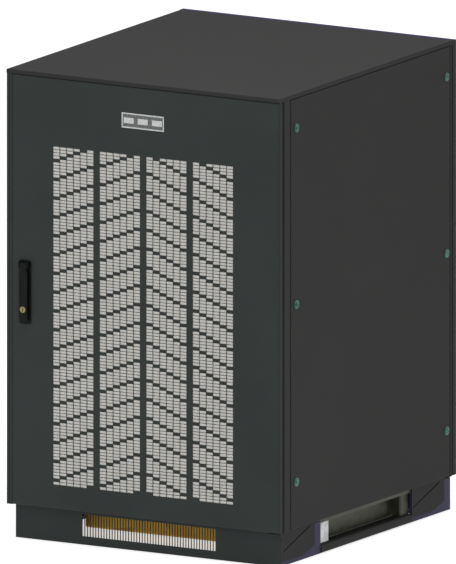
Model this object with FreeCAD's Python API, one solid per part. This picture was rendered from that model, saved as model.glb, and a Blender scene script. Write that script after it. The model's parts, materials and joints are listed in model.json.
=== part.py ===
import FreeCAD, Part
import math
import os

os.makedirs("parts", exist_ok=True)

# Frame: millimetres, X to the right, Y to the rear, Z up.
# The origin is on the floor, at the centre of the four anchor holes.

# Cabinet
cabinet_width = 600.0
cabinet_depth = 675.0
cabinet_height = 912.0
plinth_height = 67.0
sheet = 1.5
frame_sheet = 2.0
bend = 3.0
side_step = 12.0
front_strip = 25.5
rear_strip = 11.0
rear_tray = 15.5
post_flange = 25.0
rail_height = 40.0
rail_depth = 28.0
cover_lip = 7.6
cover_gap = 0.4
cover_sheet = 2.0
fit_gap = 0.5
panel_rest = 1.2

# Plinth
plinth_side_inset = 8.0
plinth_front_inset = 22.0
plinth_rear_inset = 4.0
plinth_sheet = 2.5
plinth_flange = 30.0
corner_length = 153.0
sill_height = 17.0
angle_height = 9.0
base_vent_width = 295.0
base_vent_low = 16.0
base_vent_high = 59.0
base_slot_pitch = 6.0
base_slot_width = 5.2
plate_edge = 9.0
plate_cut_rise = 12.0
plate_cut_run = 47.0
crease_width = 3.2
crease_depth = 1.6
crease_run = 100.0
crease_rise = 33.0
crease_low = 27.0
crease_inset = 4.0
front_plate_short = 26.0
rear_plate_short = 29.0
anchor_spacing_x = cabinet_width - 100.0
anchor_spacing_y = cabinet_depth - 115.0
anchor_radius = 7.0
foot_sheet = 5.0
foot_length = 75.0
bracket_web = 60.0
inner_channel_offset = 30.0
inner_channel_setback = 90.0
inner_channel_floor = 13.5
front_member_setback = 100.0
front_member_half = cabinet_width / 2 - 104.0
rear_member_place = cabinet_depth / 2 - 185.5
rear_member_half = cabinet_width / 2 - 59.0
member_depth = 24.0
stiffener_gap = 8.0
stiffener_length = 30.0
cross_member_floor = 11.0

# Controller
controller_x = -150.0
controller_half = 75.0
controller_front = 150.0
controller_low = 250.0
controller_high = 380.0
button_radius = 6.0
button_places = (("transfer_button", -35.0), ("test_button", -5.0))
button_z = 278.0
screen_low = 310.0
screen_high = 362.0
window_half = 45.0
glass_depth = 2.0

# Door
door_gap_below = 1.0
door_return = 10.0
door_depth = 16.0
door_clearance = 2.0
door_edge_radius = 4.0
bead_strip = 14.0
bead_groove = 1.3
stile_width = 25.0
lock_stile_width = 60.0
door_frame_inset = 2.5
hinge_inset_x = 7.0
hinge_inset_y = 8.0
hinge_pin_radius = 4.0
hinge_tube_radius = 5.4
hinge_tube_length = 30.0
hinge_plate = 3.0
running_clearance = 0.05
gasket_width = 10.0
gasket_gap = 0.3

# Vent field of the door
vent_low = plinth_height + 48.0
vent_columns = 4
vent_column_pitch = 102.25
lanes_per_column = 6
lane_pitch = 14.88
slot_width = 14.3
slot_height = 5.4
row_pitch = 6.083
vent_rows = int((cabinet_height - plinth_height - 188.0) / row_pitch)
band_rows = 6
first_band_row = 4

# Filter behind the vents
filter_margin = 5.0
filter_thickness = 6.0
filter_frame_bar = 8.0

# Handle, lock and latch rods
handle_x = 41.6 - cabinet_width / 2
dish_low = 421.0
dish_high = 545.0
dish_width = 26.0
dish_thickness = 2.5
spindle_z = 528.0
spindle_radius = 5.0
lever_pivot_z = 538.0
lever_low = 427.0
lever_width = 20.0
grip_corner = 5.0
lever_neck = 15.6
lever_thickness = 6.6
lever_pin_radius = 1.6
lock_z = 450.0
lock_radius = 6.0
cam_radius = 9.0
cam_pin_radius = 2.5
rod_radius = 3.5
cam_play = 2.4
tab_wall = 2.8
tab_end = 2.2
slot_play = 0.3
rod_tip_gap = 2.0
keeper_drop = 19.0
badge_width = 93.0
badge_low = cabinet_height - 88.5
badge_high = cabinet_height - 59.0
badge_thickness = 1.2

# Panel screws
screw_rows = (plinth_height + 91.5, cabinet_height / 2 + 47.0, cabinet_height - 66.4)
screw_front_inset = 64.5
screw_rear_inset = 38.5
screw_flange_radius = 8.5
screw_hole_radius = 3.4
screw_shank_radius = 3.0

# Mounting plate
plate_front = 205.0
plate_sheet = 2.5
plate_half = cabinet_width / 2 - 44.0
plate_low = plinth_height + 48.0
plate_high = cabinet_height - 32.0
air_window_half = 85.0
air_window_low = cabinet_height - 222.0
air_window_high = cabinet_height - 62.0

# Transfer switch
shaft_y = 110.0
shaft_z = 545.0
shaft_radius = 8.0
shaft_half = 185.0
pole_pitch = 70.0
poles = 4
blade_thickness = 4.0
blade_reach = 78.0
blade_width = 20.0
hub_radius = 30.0
sleeve_radius = 14.0
contact_angle = 30.0
jaw_clearance = 0.3
jaw_sheet = 3.0
jaw_inner = 56.0
strap_sheet = 4.0
strap_width = 20.0
terminal_radius = 4.5
end_plate_x = 152.0
end_plate_sheet = 4.0
bush_radius = 12.0

# Gear drive of the switch
gear_module = 2.0
sector_teeth = 54
pinion_teeth = 18
gear_width = 8.0
gear_x = 162.0
backlash = 0.2
pressure_angle = math.radians(20.0)
pinion_shaft_radius = 5.0

# Breakers
breaker_width = 105.0
breaker_height = 160.0
breaker_depth = 85.0
breaker_low = 700.0
breaker_x = 182.5
toggle_width = 16.0

# Fan
fan_z = cabinet_height - 144.0
fan_size = 172.0
fan_bore = 80.5
fan_depth = 46.0
fan_blades = 7
fan_hub_radius = 34.0
guard_wire = 1.6

# Places that follow from the sizes above
half_width = cabinet_width / 2
front = -cabinet_depth / 2
rear = cabinet_depth / 2
cover_low = cabinet_height - cover_lip
wall_top = cover_low - cover_gap
door_low = plinth_height + door_gap_below
door_rear = front + door_depth
frame_front = door_rear + door_clearance
panel_front = frame_front + front_strip
post_rear = rear - rear_tray - fit_gap
panel_rear = post_rear - rear_strip + fit_gap
step_x = half_width - side_step
opening_half = half_width - post_flange
plinth_half = half_width - plinth_side_inset
plinth_front = front + plinth_front_inset
plinth_rear = rear - plinth_rear_inset
hinge_x = half_width - hinge_inset_x
hinge_y = front + hinge_inset_y
vent_high = vent_low + (vent_rows - 1) * row_pitch + slot_height
plinth_side_gap = 0.2


def vec(x, y, z):
    return FreeCAD.Vector(x, y, z)


def block(x0, x1, y0, y1, z0, z1):
    """A box between two corners."""
    return Part.makeBox(x1 - x0, y1 - y0, z1 - z0, vec(x0, y0, z0))


def rod(radius, start, end):
    """A round bar between two points."""
    along = vec(*end) - vec(*start)
    return Part.makeCylinder(radius, along.Length, vec(*start), along)


def ring(outer, inner, start, end):
    return rod(outer, start, end).cut(rod(inner, start, end))


def placed(axis, u, v, w):
    """A point at (u, v) of a section and at w along its axis."""
    if axis == "x":
        return vec(w, u, v)
    if axis == "y":
        return vec(u, w, v)
    return vec(u, v, w)


def along(axis, length):
    return placed(axis, 0, 0, length)


def prism(axis, points, start, end, holes=()):
    """A straight prism of a closed section, with holes given as (u, v, radius)."""
    corners = [placed(axis, u, v, start) for u, v in points]
    body = Part.Face(Part.makePolygon(corners + corners[:1])).extrude(along(axis, end - start))
    for u, v, radius in holes:
        body = body.cut(rod(radius, placed(axis, u, v, start - 1), placed(axis, u, v, end + 1)))
    return body


def folded(axis, points, thickness, start, end, radius=bend):
    """A folded sheet: a centre line of straight runs, bent at its corners."""
    sides = {1: [], -1: []}
    count = len(points)
    starts = list(points)
    ends = list(points)
    arcs = [None] * count
    for i in range(1, count - 1):
        ax, ay = unit(points[i - 1], points[i])
        bx, by = unit(points[i], points[i + 1])
        turn = math.atan2(ax * by - ay * bx, ax * bx + ay * by)
        reach = radius * math.tan(abs(turn) / 2)
        sense = 1 if turn > 0 else -1
        ends[i] = (points[i][0] - ax * reach, points[i][1] - ay * reach)
        starts[i] = (points[i][0] + bx * reach, points[i][1] + by * reach)
        centre = (ends[i][0] - ay * radius * sense, ends[i][1] + ax * radius * sense)
        middle = unit(centre, points[i])
        arcs[i] = (centre, middle, sense)
    for side in sides:
        offset = side * thickness / 2
        for i in range(count - 1):
            dx, dy = unit(points[i], points[i + 1])
            first = (starts[i][0] - dy * offset, starts[i][1] + dx * offset)
            last = (ends[i + 1][0] - dy * offset, ends[i + 1][1] + dx * offset)
            sides[side].append(Part.makeLine(placed(axis, *first, start), placed(axis, *last, start)))
            if arcs[i + 1]:
                centre, middle, sense = arcs[i + 1]
                nx, ny = unit(points[i + 1], points[i + 2])
                away = radius - sense * offset
                top = (centre[0] + middle[0] * away, centre[1] + middle[1] * away)
                after = (starts[i + 1][0] - ny * offset, starts[i + 1][1] + nx * offset)
                arc = Part.Arc(placed(axis, *last, start), placed(axis, *top, start),
                               placed(axis, *after, start))
                sides[side].append(arc.toShape())
    left, right = sides[1], sides[-1]
    caps = [Part.makeLine(left[0].firstVertex().Point, right[0].firstVertex().Point),
            Part.makeLine(left[-1].lastVertex().Point, right[-1].lastVertex().Point)]
    outline = Part.Wire(Part.__sortEdges__(left + right + caps))
    return Part.Face(outline).extrude(along(axis, end - start))


def unit(a, b):
    length = math.hypot(b[0] - a[0], b[1] - a[1])
    return (b[0] - a[0]) / length, (b[1] - a[1]) / length


def mirrored(shape):
    return shape.mirror(vec(0, 0, 0), vec(1, 0, 0))


def both_sides(shapes):
    return shapes + [mirrored(shape) for shape in shapes]


def soften(shape, radius, chosen):
    """Round the straight edges whose middle passes the test."""
    edges = [edge for edge in shape.Edges if chosen(edge.CenterOfMass)]
    return shape.makeFillet(radius, edges)


def hexagon(axis, u, v, across, start, end):
    points = [(u + across / math.sqrt(3) * math.cos(math.radians(60 * k)),
               v + across / math.sqrt(3) * math.sin(math.radians(60 * k))) for k in range(6)]
    return prism(axis, points, start, end)


def save(node, shapes):
    shape = shapes[0] if len(shapes) == 1 else Part.makeCompound(shapes)
    shape.exportStep("parts/" + node + ".step")


def perforated(x0, x1, z0, z1, slots, y0, y1):
    """A flat sheet facing Y with rectangular slots given as (x0, x1, z0, z1)."""
    wires = [rectangle(x0, x1, z0, z1, y0)]
    for slot in slots:
        wire = rectangle(*slot, y0)
        wire.reverse()
        wires.append(wire)
    return Part.Face(wires).extrude(vec(0, y1 - y0, 0))


def rectangle(x0, x1, z0, z1, y):
    corners = [vec(x0, y, z0), vec(x1, y, z0), vec(x1, y, z1), vec(x0, y, z1)]
    return Part.makePolygon(corners + corners[:1])


# ---- Plinth

def plinth_front_skirt():
    count = round(base_vent_width / base_slot_pitch)
    first = -(count - 1) * base_slot_pitch / 2
    slots = []
    for i in range(count):
        x = first + i * base_slot_pitch
        slots.append((x - base_slot_width / 2, x + base_slot_width / 2, base_vent_low, base_vent_high))
    web = perforated(-plinth_half, plinth_half, 0, plinth_height, slots,
                     plinth_front, plinth_front + plinth_sheet)
    inner = plinth_half - plinth_sheet - plinth_side_gap - plinth_sheet - 1
    flange = block(-inner, inner, plinth_front + plinth_sheet, plinth_front + plinth_flange,
                   plinth_height - plinth_sheet, plinth_height)
    notch = block(*hinge_notch(), plinth_front - 1, plinth_front + plinth_flange + 1,
                  plinth_height - hinge_plate - fit_gap, plinth_height + 1)
    return [web.fuse(flange).removeSplitter().cut(notch)]


def hinge_notch():
    """The span in X that the lower hinge plate takes through the plinth."""
    return hinge_x - 20 - fit_gap, plinth_half - 2 * plinth_sheet


def plinth_rear_skirt():
    y = plinth_rear - plinth_sheet / 2
    middle = plinth_sheet / 2
    path = [(y - plinth_flange, plinth_height - middle), (y, plinth_height - middle), (y, middle)]
    inner = plinth_half - 2 * plinth_sheet - plinth_side_gap - 1
    return [folded("x", path, plinth_sheet, -inner, inner)]


def corner_spans():
    """Each corner's span in Y, and the edge of its plate nearest the front."""
    return ((plinth_front, plinth_front + corner_length), (plinth_rear - corner_length, plinth_rear))


def plinth_side_plates():
    """Corner plates with a cut lower edge and a crease, and the sill between them."""
    x0 = plinth_half - plinth_sheet
    plates = []
    for y0, y1 in corner_spans():
        at_front = y0 == plinth_front
        low = y0 + plinth_sheet + plinth_side_gap if at_front else y0
        stop = y1 - (front_plate_short if at_front else rear_plate_short)
        outline = [(low, plate_edge), (stop - plate_cut_run, plate_edge),
                   (stop, plate_edge + plate_cut_rise), (stop, plinth_height), (low, plinth_height)]
        plate = prism("x", outline, x0, plinth_half)
        start = low + crease_inset
        end = start + crease_run
        high = crease_low + crease_rise
        line = [(start, crease_low), (end, high), (end, high + crease_width),
                (start, crease_low + crease_width)]
        crease = prism("x", line, plinth_half - crease_depth, plinth_half + 1)
        plates.append(plate.cut(crease))
    sill_y0 = corner_spans()[0][1]
    sill_y1 = corner_spans()[1][0]
    middle = plinth_sheet / 2
    path = [(plinth_half - 25, sill_height - middle), (plinth_half - middle, sill_height - middle),
            (plinth_half - middle, middle), (plinth_half - 25, middle)]
    sill = folded("y", path, plinth_sheet, sill_y0, sill_y1)
    return both_sides(plates + [sill])


def plinth_corner_brackets():
    """An upright angle with a foot that takes the floor anchor."""
    brackets = []
    x_out = plinth_half - plinth_sheet - plinth_side_gap
    top = plinth_height - hinge_plate - fit_gap - 1
    for y0, y1 in corner_spans():
        inward = 1 if y0 == plinth_front else -1
        wall = plinth_front if inward > 0 else plinth_rear
        end = wall + inward * (plinth_sheet + plinth_side_gap)
        far = y1 if inward > 0 else y0
        hole_y = -inward * anchor_spacing_y / 2
        side = block(x_out - plinth_sheet, x_out, min(end, far), max(end, far), 0, top)
        web = sorted((end, end + inward * plinth_sheet))
        back = block(x_out - bracket_web, x_out, web[0], web[1], 0, top)
        toe = sorted((end, end + inward * foot_length))
        foot = block(x_out - foot_length, x_out, toe[0], toe[1], 0, foot_sheet)
        hole = rod(anchor_radius, (anchor_spacing_x / 2, hole_y, -1),
                   (anchor_spacing_x / 2, hole_y, foot_sheet + 1))
        brackets.append(side.fuse([back, foot]).removeSplitter().cut(hole))
    return both_sides(brackets)


def inner_channel_x():
    return plinth_half - inner_channel_offset


def upright_spacer(y0, y1):
    """An upright angle between a corner bracket and the inner channel."""
    x0 = inner_channel_x()
    x1 = plinth_half - 3 * plinth_sheet - 1
    path = [(x0, y0 + 1), (x1, y0 + 1), (x1, y1)]
    return folded("z", path, frame_sheet, sill_height + fit_gap, plinth_height - angle_height)


def plinth_inner_members():
    """The inner channels, the rear spacers and the angles above the side openings."""
    x = inner_channel_x()
    low, high = inner_channel_floor, plinth_height - angle_height
    y0 = plinth_front + inner_channel_setback
    y1 = plinth_rear - inner_channel_setback
    path = [(x - 20, high - 1), (x - 1, high - 1), (x - 1, low + 1), (x - 20, low + 1)]
    channel = folded("y", path, frame_sheet, y0, y1)
    sill_y0, sill_y1 = corner_spans()[0][1], corner_spans()[1][0]
    top = plinth_height - 1
    edge = plinth_half - 4
    path = [(edge - 22, top), (edge, top), (edge, top - angle_height + 1.5)]
    angle = folded("y", path, frame_sheet, sill_y0, sill_y1, 2.0)
    spacer = upright_spacer(sill_y1 - stiffener_length - 1, sill_y1 - 1)
    return both_sides([channel, angle, spacer])


def plinth_stiffeners():
    """The front pair of upright spacers."""
    y0 = corner_spans()[0][1] + stiffener_gap
    return both_sides([upright_spacer(y0, y0 + stiffener_length)])


def cross_member(y, half):
    """A channel across the plinth, hung by straps from the inner channels."""
    low, high = cross_member_floor, plinth_height - angle_height
    path = [(y + member_depth, high + 1), (y + 1, high + 1), (y + 1, low + 1),
            (y + member_depth, low + 1)]
    beam = folded("x", path, frame_sheet, -half, half)
    for side in (-1, 1):
        x0, x1 = sorted((side * (half - 1), side * inner_channel_x()))
        beam = beam.fuse(block(x0, x1, y + 4, y + member_depth, high, high + frame_sheet))
    return beam.removeSplitter()


def base_zinc_members():
    return [cross_member(plinth_front + front_member_setback, front_member_half),
            cross_member(rear_member_place, rear_member_half)]


# ---- Body frame

def front_post():
    """Right front post: gasket flange, visible strip, and the recess for the side panel."""
    m = frame_sheet / 2
    path = [(opening_half + m, frame_front + 20), (opening_half + m, frame_front + m),
            (half_width - m, frame_front + m), (half_width - m, panel_front - fit_gap - m),
            (step_x - m, panel_front - fit_gap - m), (step_x - m, panel_front + 32)]
    return folded("z", path, frame_sheet, plinth_height, wall_top)


def rear_post():
    m = frame_sheet / 2
    path = [(opening_half + m, post_rear - 20), (opening_half + m, post_rear - m),
            (half_width - m, post_rear - m), (half_width - m, panel_rear + fit_gap + m),
            (step_x - m, panel_rear + fit_gap + m), (step_x - m, panel_rear - 27)]
    return folded("z", path, frame_sheet, plinth_height, wall_top)


def drilled_for_screws(post, y):
    for z in screw_rows:
        post = post.cut(rod(screw_shank_radius + 0.2, (step_x - 10, y, z), (step_x + 5, y, z)))
    return post


def front_screw_y():
    return front + screw_front_inset


def rear_screw_y():
    return rear - screw_rear_inset


def rear_screw_x():
    return half_width - 10


def front_posts():
    return both_sides([drilled_for_screws(front_post(), front_screw_y())])


def rear_posts():
    post = drilled_for_screws(rear_post(), rear_screw_y())
    for z in screw_rows:
        post = post.cut(rod(screw_shank_radius + 0.2, (rear_screw_x(), post_rear - 5, z),
                            (rear_screw_x(), rear, z)))
    return both_sides([post])


def frame_ring(low, high, upper):
    """Four folded rails between the posts, with their flanges turned inwards."""
    m = frame_sheet / 2
    y_rear = post_rear - m
    y_front = frame_front + m
    z_outer = high - m if upper else low + m
    z_inner = low + m if upper else high - m
    front_path = [(y_front + rail_depth, z_outer), (y_front, z_outer), (y_front, z_inner),
                  (y_front + rail_depth, z_inner)]
    rear_path = [(y_rear - rail_depth, z_outer), (y_rear, z_outer), (y_rear, z_inner),
                 (y_rear - rail_depth, z_inner)]
    side_x = step_x - frame_sheet - m - fit_gap
    side_path = [(side_x - rail_depth, z_outer), (side_x, z_outer), (side_x, z_inner),
                 (side_x - rail_depth, z_inner)]
    side_front = panel_front + 32
    side_rear = panel_rear - 27
    span = opening_half
    rails = [folded("x", front_path, frame_sheet, -span, span),
             folded("x", rear_path, frame_sheet, -span, span)]
    side = folded("y", side_path, frame_sheet, side_front, side_rear)
    return rails + both_sides([side])


def bottom_frame():
    return frame_ring(plinth_height, plinth_height + rail_height, False)


def top_frame():
    """The upper ring, with spacer blocks that carry the cover."""
    rails = frame_ring(wall_top - rail_height, wall_top, True)
    pads = [block(x0, x0 + 40, y0, y0 + 20, wall_top, cabinet_height - cover_sheet)
            for x0 in (-220, -20, 180) for y0 in (frame_front + 4, post_rear - 24)]
    return rails + pads


def gland_places():
    return [(x, y) for x in (-150, -50, 50, 150) for y in (60, 130)]


def gland_plate():
    z = plinth_height + frame_sheet
    plate = block(-opening_half + 12, opening_half - 12, frame_front + 8, post_rear - 8, z, z + 3)
    for x, y in gland_places():
        plate = plate.cut(rod(16.3, (x, y, z - 1), (x, y, z + 4)))
    return [plate]


def cable_glands():
    """Screwed glands with a lock nut under the plate; cables pass through their bores."""
    z = plinth_height + frame_sheet
    glands = []
    for x, y in gland_places():
        body = rod(16, (x, y, z - 12), (x, y, z + 3.2)).fuse(hexagon("z", x, y, 38, z + 3, z + 13))
        dome = Part.makeCone(17.5, 14, 12, vec(x, y, z + 13), vec(0, 0, 1))
        nut = hexagon("z", x, y, 40, z - 7, z)
        glands.append(body.fuse([dome, nut]).cut(rod(10, (x, y, z - 20), (x, y, z + 40))))
    return glands


def side_panel():
    """A shallow tray on the right side, open towards the inside."""
    depth = side_step - panel_rest
    y0, y1 = panel_front, panel_rear
    z0, z1 = door_low, wall_top - fit_gap
    tray = block(half_width - depth, half_width, y0, y1, z0, z1)
    tray = soften(tray, 2.2, lambda c: abs(c.x - half_width) < 0.01)
    tray = tray.cut(block(half_width - depth - 1, half_width - sheet, y0 + sheet, y1 - sheet,
                          z0 + sheet, z1 - sheet))
    for y in (front_screw_y(), rear_screw_y()):
        for z in screw_rows:
            tray = tray.cut(rod(screw_hole_radius, (half_width - 5, y, z), (half_width + 1, y, z)))
    return tray


def panel_screw(x, y, z):
    """A flanged button-head screw with a spacer sleeve, driven in along -X."""
    head = rod(screw_flange_radius, (x, y, z), (x + 1.2, y, z))
    button = Part.makeCone(5.6, 4.0, 2.4, vec(x + 1.2, y, z), vec(1, 0, 0))
    shank = rod(screw_shank_radius, (x - side_step - 8, y, z), (x, y, z))
    socket = hexagon("x", y, z, 3.4, x + 1.8, x + 5)
    sleeve = ring(5.5, screw_shank_radius, (x - side_step, y, z), (x - sheet, y, z))
    nut = hexagon("x", y, z, 10, x - side_step - 7, x - side_step - frame_sheet)
    return head.fuse([button, shank, sleeve, nut]).removeSplitter().cut(socket)


def rear_screw(x, z):
    head = rod(5.5, (x, rear, z), (x, rear + 2.6, z))
    shank = rod(screw_shank_radius, (x, post_rear - 8, z), (x, rear, z))
    socket = hexagon("y", x, z, 3.4, rear + 1, rear + 5)
    return head.fuse(shank).removeSplitter().cut(socket)


def panel_screws():
    rows_of_screws = (front_screw_y(), rear_screw_y())
    sides = [panel_screw(half_width, y, z) for y in rows_of_screws for z in screw_rows]
    backs = [rear_screw(rear_screw_x(), z) for z in screw_rows]
    return both_sides(sides + backs)


def top_cover():
    y1 = rear - rear_tray - fit_gap
    cover = block(-half_width, half_width, front, y1, cover_low, cabinet_height)
    cover = soften(cover, 2.0, lambda c: abs(c.z - cabinet_height) < 0.01 and c.y < y1 - 0.01)
    return [cover.cut(block(-half_width + cover_sheet, half_width - cover_sheet, front + cover_sheet,
                            y1 - cover_sheet, cover_low - 1, cabinet_height - cover_sheet))]


def rear_panel():
    """The rear tray with the round fan opening."""
    z0, z1 = door_low, cabinet_height
    y0 = rear - rear_tray
    tray = block(-half_width, half_width, y0, rear, z0, z1)
    tray = soften(tray, 2.2, lambda c: abs(c.y - rear) < 0.01)
    tray = tray.cut(block(-half_width + sheet, half_width - sheet, y0 - 1, rear - sheet, z0 + sheet,
                          z1 - sheet))
    tray = tray.cut(rod(fan_bore + 2, (0, rear - 5, fan_z), (0, rear + 1, fan_z)))
    for x in (-rear_screw_x(), rear_screw_x()):
        for z in screw_rows:
            tray = tray.cut(rod(screw_hole_radius, (x, rear - 5, z), (x, rear + 1, z)))
    return [tray]


def hinge_brackets():
    """Upper and lower hinge plates, each with its pin."""
    inner = hinge_x - 20
    outer = half_width - cover_sheet - fit_gap
    leg_y = frame_front + frame_sheet
    z = cover_low + fit_gap
    lug = block(inner, outer, front + cover_sheet + fit_gap, leg_y + hinge_plate, z, z + hinge_plate)
    leg = block(inner + 6, half_width - frame_sheet - bend - 1, leg_y, leg_y + hinge_plate, z - 32,
                z + 1)
    upper_pin = rod(hinge_pin_radius, (hinge_x, hinge_y, wall_top - 26), (hinge_x, hinge_y, z + 1))
    top = lug.fuse([leg, upper_pin]).removeSplitter()
    low = plinth_height - hinge_plate
    outline = [(inner, front + 2), (outer, front + 2), (outer, plinth_front - fit_gap),
               (plinth_half - 3 * plinth_sheet, plinth_front - fit_gap),
               (plinth_half - 3 * plinth_sheet, frame_front + 40), (inner, frame_front + 40)]
    foot = prism("z", outline, low, plinth_height)
    lower_pin = rod(hinge_pin_radius, (hinge_x, hinge_y, low), (hinge_x, hinge_y, door_low + 26))
    head = rod(hinge_pin_radius + 2, (hinge_x, hinge_y, low - 2.5), (hinge_x, hinge_y, low))
    return [top, foot.fuse([lower_pin, head]).removeSplitter()]


def latch_keepers():
    """Angles on the upper and lower rails that the rod tips stand behind."""
    x0, x1 = handle_x - 15, handle_x + 15
    y = frame_front + frame_sheet + 1.5
    low = plinth_height + rail_height
    high = wall_top - rail_height
    keepers = []
    for base, sense in ((low, 1), (high, -1)):
        path = [(y + 24, base + sense), (y, base + sense), (y, base + sense * keeper_drop)]
        keepers.append(folded("x", path, frame_sheet, x0, x1, 2.0))
    return keepers


# ---- Equipment plate

def plate_rails():
    """Depth rails from the front posts to the rear posts, with lugs that carry the plate."""
    x1 = step_x - frame_sheet - fit_gap
    y0, y1 = panel_front + 33, panel_rear - 28
    rails = []
    for z in (150, 815):
        path = [(x1 - 22, z + 29), (x1 - 1, z + 29), (x1 - 1, z + 1), (x1 - 22, z + 1)]
        rails.append(folded("y", path, frame_sheet, y0, y1))
        lug = [(x1 - 1 - frame_sheet, plate_front + plate_sheet + 14),
               (x1 - 1 - frame_sheet, plate_front + plate_sheet + 1),
               (plate_half - 22, plate_front + plate_sheet + 1)]
        rails.append(folded("z", lug, frame_sheet, z + 5, z + 25, 1.6))
    return both_sides(rails)


def mounting_plate():
    plate = block(-plate_half, plate_half, plate_front, plate_front + plate_sheet, plate_low, plate_high)
    window = block(-air_window_half, air_window_half, plate_front - 1, plate_front + plate_sheet + 1,
                   air_window_low, air_window_high)
    lips = [block(-plate_half, plate_half, plate_front + plate_sheet, plate_front + 12, z,
                  z + plate_sheet)
            for z in (plate_low, plate_high - plate_sheet)]
    return [plate.cut(window).fuse(lips).removeSplitter()]


# ---- Transfer switch

def pole_places():
    return [(i - (poles - 1) / 2) * pole_pitch for i in range(poles)]


def turned(shape, degrees):
    """A shape turned about the switch shaft."""
    copy = shape.copy()
    copy.rotate(vec(0, shaft_y, shaft_z), vec(1, 0, 0), degrees)
    return copy


def switch_base():
    """Moulded base with a rib on each side of every pole, and blocks under the terminals."""
    z0, z1 = shaft_z - 88, shaft_z + 88
    base = block(-150, 150, 172, plate_front, z0, z1)
    for x in pole_places():
        base = base.cut(block(x - 26, x + 10.6, 171, 184, z0 + 14, z1 - 14))
    blocks = []
    for x in pole_places():
        for z in (shaft_z + 104, shaft_z - 139):
            blocks.append(block(x - 12, x + 12, plate_front - 7, plate_front, z, z + 35))
    return [base] + blocks


def switch_end_plates():
    """Steel end plates with bronze bushes for the shaft."""
    parts = []
    for x in (end_plate_x, -end_plate_x - end_plate_sheet):
        outline = [(80, shaft_z - 40), (140, shaft_z - 85), (plate_front, shaft_z - 85),
                   (plate_front, shaft_z + 85), (140, shaft_z + 85), (80, shaft_z + 40)]
        parts.append(prism("x", outline, x, x + end_plate_sheet, [(shaft_y, shaft_z, bush_radius)]))
        parts.append(ring(bush_radius, shaft_radius + running_clearance, (x - 1, shaft_y, shaft_z),
                          (x + end_plate_sheet + 1, shaft_y, shaft_z)))
    return parts


def jaw_leaves(x, inner, outer, low, high):
    """Two leaves with room for a blade between them, drawn towards the front."""
    near = blade_thickness / 2 + jaw_clearance
    far = near + jaw_sheet
    return [block(x + x0, x + x1, shaft_y - outer, shaft_y - inner, shaft_z + low, shaft_z + high)
            for x0, x1 in ((-far, -near), (near, far))]


def source_contact(x, sense):
    """Jaws at the end of the blade's swing, and the strap to the terminal."""
    far = blade_thickness / 2 + jaw_clearance + jaw_sheet
    leaves = jaw_leaves(x, jaw_inner, blade_reach + 10, -9, 9)
    bridge = block(x - far, x + far, shaft_y - blade_reach - 10, shaft_y - blade_reach - 3,
                   shaft_z - 9, shaft_z + 9)
    contact = turned(leaves[0].fuse([leaves[1], bridge]), -sense * contact_angle)
    start = shaft_z + sense * 40
    level = shaft_z + sense * 96
    end = shaft_z + sense * 136
    y_front = shaft_y - 75
    y_rear = plate_front - 7 - strap_sheet / 2
    path = [(y_front, start), (y_front, level), (y_rear, level), (y_rear, end)]
    strap = folded("x", path, strap_sheet, x - strap_width / 2, x + strap_width / 2, 6.0)
    hole = rod(terminal_radius, (x, y_rear - 5, shaft_z + sense * 121),
               (x, y_rear + 5, shaft_z + sense * 121))
    return contact.fuse(strap).cut(hole)


def source_1_contacts():
    return [source_contact(x, 1) for x in pole_places()]


def source_2_contacts():
    return [source_contact(x, -1) for x in pole_places()]


def load_contacts():
    """Jaws behind each hub, and a strap beside the pole down to the load terminal."""
    near = blade_thickness / 2 + jaw_clearance
    far = near + jaw_sheet
    contacts = []
    for x in pole_places():
        y1 = 172.0
        leaves = [block(x + x0, x + x1, shaft_y + 17, y1, shaft_z - 12, shaft_z + 12)
                  for x0, x1 in ((-far, -near), (near, far))]
        bridge = block(x - far, x + far, shaft_y + hub_radius + 6, y1, shaft_z - 12, shaft_z + 12)
        side = block(x + far, x + 30, y1 - strap_sheet, y1, shaft_z - 12, shaft_z + 12)
        drop = block(x + 14, x + 30, y1 - strap_sheet, y1, shaft_z - 160, shaft_z - 12)
        hole = rod(terminal_radius, (x + 22, y1 - 9, shaft_z - 148), (x + 22, y1 + 9, shaft_z - 148))
        contacts.append(leaves[0].fuse([leaves[1], bridge, side, drop]).removeSplitter().cut(hole))
    return contacts


def phase_barriers():
    barriers = []
    for i in range(poles - 1):
        x = (i - (poles - 2) / 2) * pole_pitch
        outline = [(25, shaft_z - 60), (60, shaft_z - 115), (172, shaft_z - 115),
                   (172, shaft_z + 115), (60, shaft_z + 115), (25, shaft_z + 60)]
        barriers.append(prism("x", outline, x - 1.5, x + 1.5, [(shaft_y, shaft_z, sleeve_radius + 2)]))
    return barriers


def switch_shaft():
    """The steel shaft, with an insulating sleeve on each side of every blade."""
    shaft = rod(shaft_radius, (-shaft_half, shaft_y, shaft_z), (shaft_half, shaft_y, shaft_z))
    stops = [-end_plate_x + 4] + pole_places() + [end_plate_x - 4]
    sleeves = []
    for i in range(len(stops) - 1):
        x0 = stops[i] + (blade_thickness / 2 + 0.1 if i else 0)
        x1 = stops[i + 1] - (blade_thickness / 2 + 0.1 if i < poles else 0)
        sleeves.append(ring(sleeve_radius, shaft_radius, (x0, shaft_y, shaft_z), (x1, shaft_y, shaft_z)))
    return [shaft] + sleeves


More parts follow.
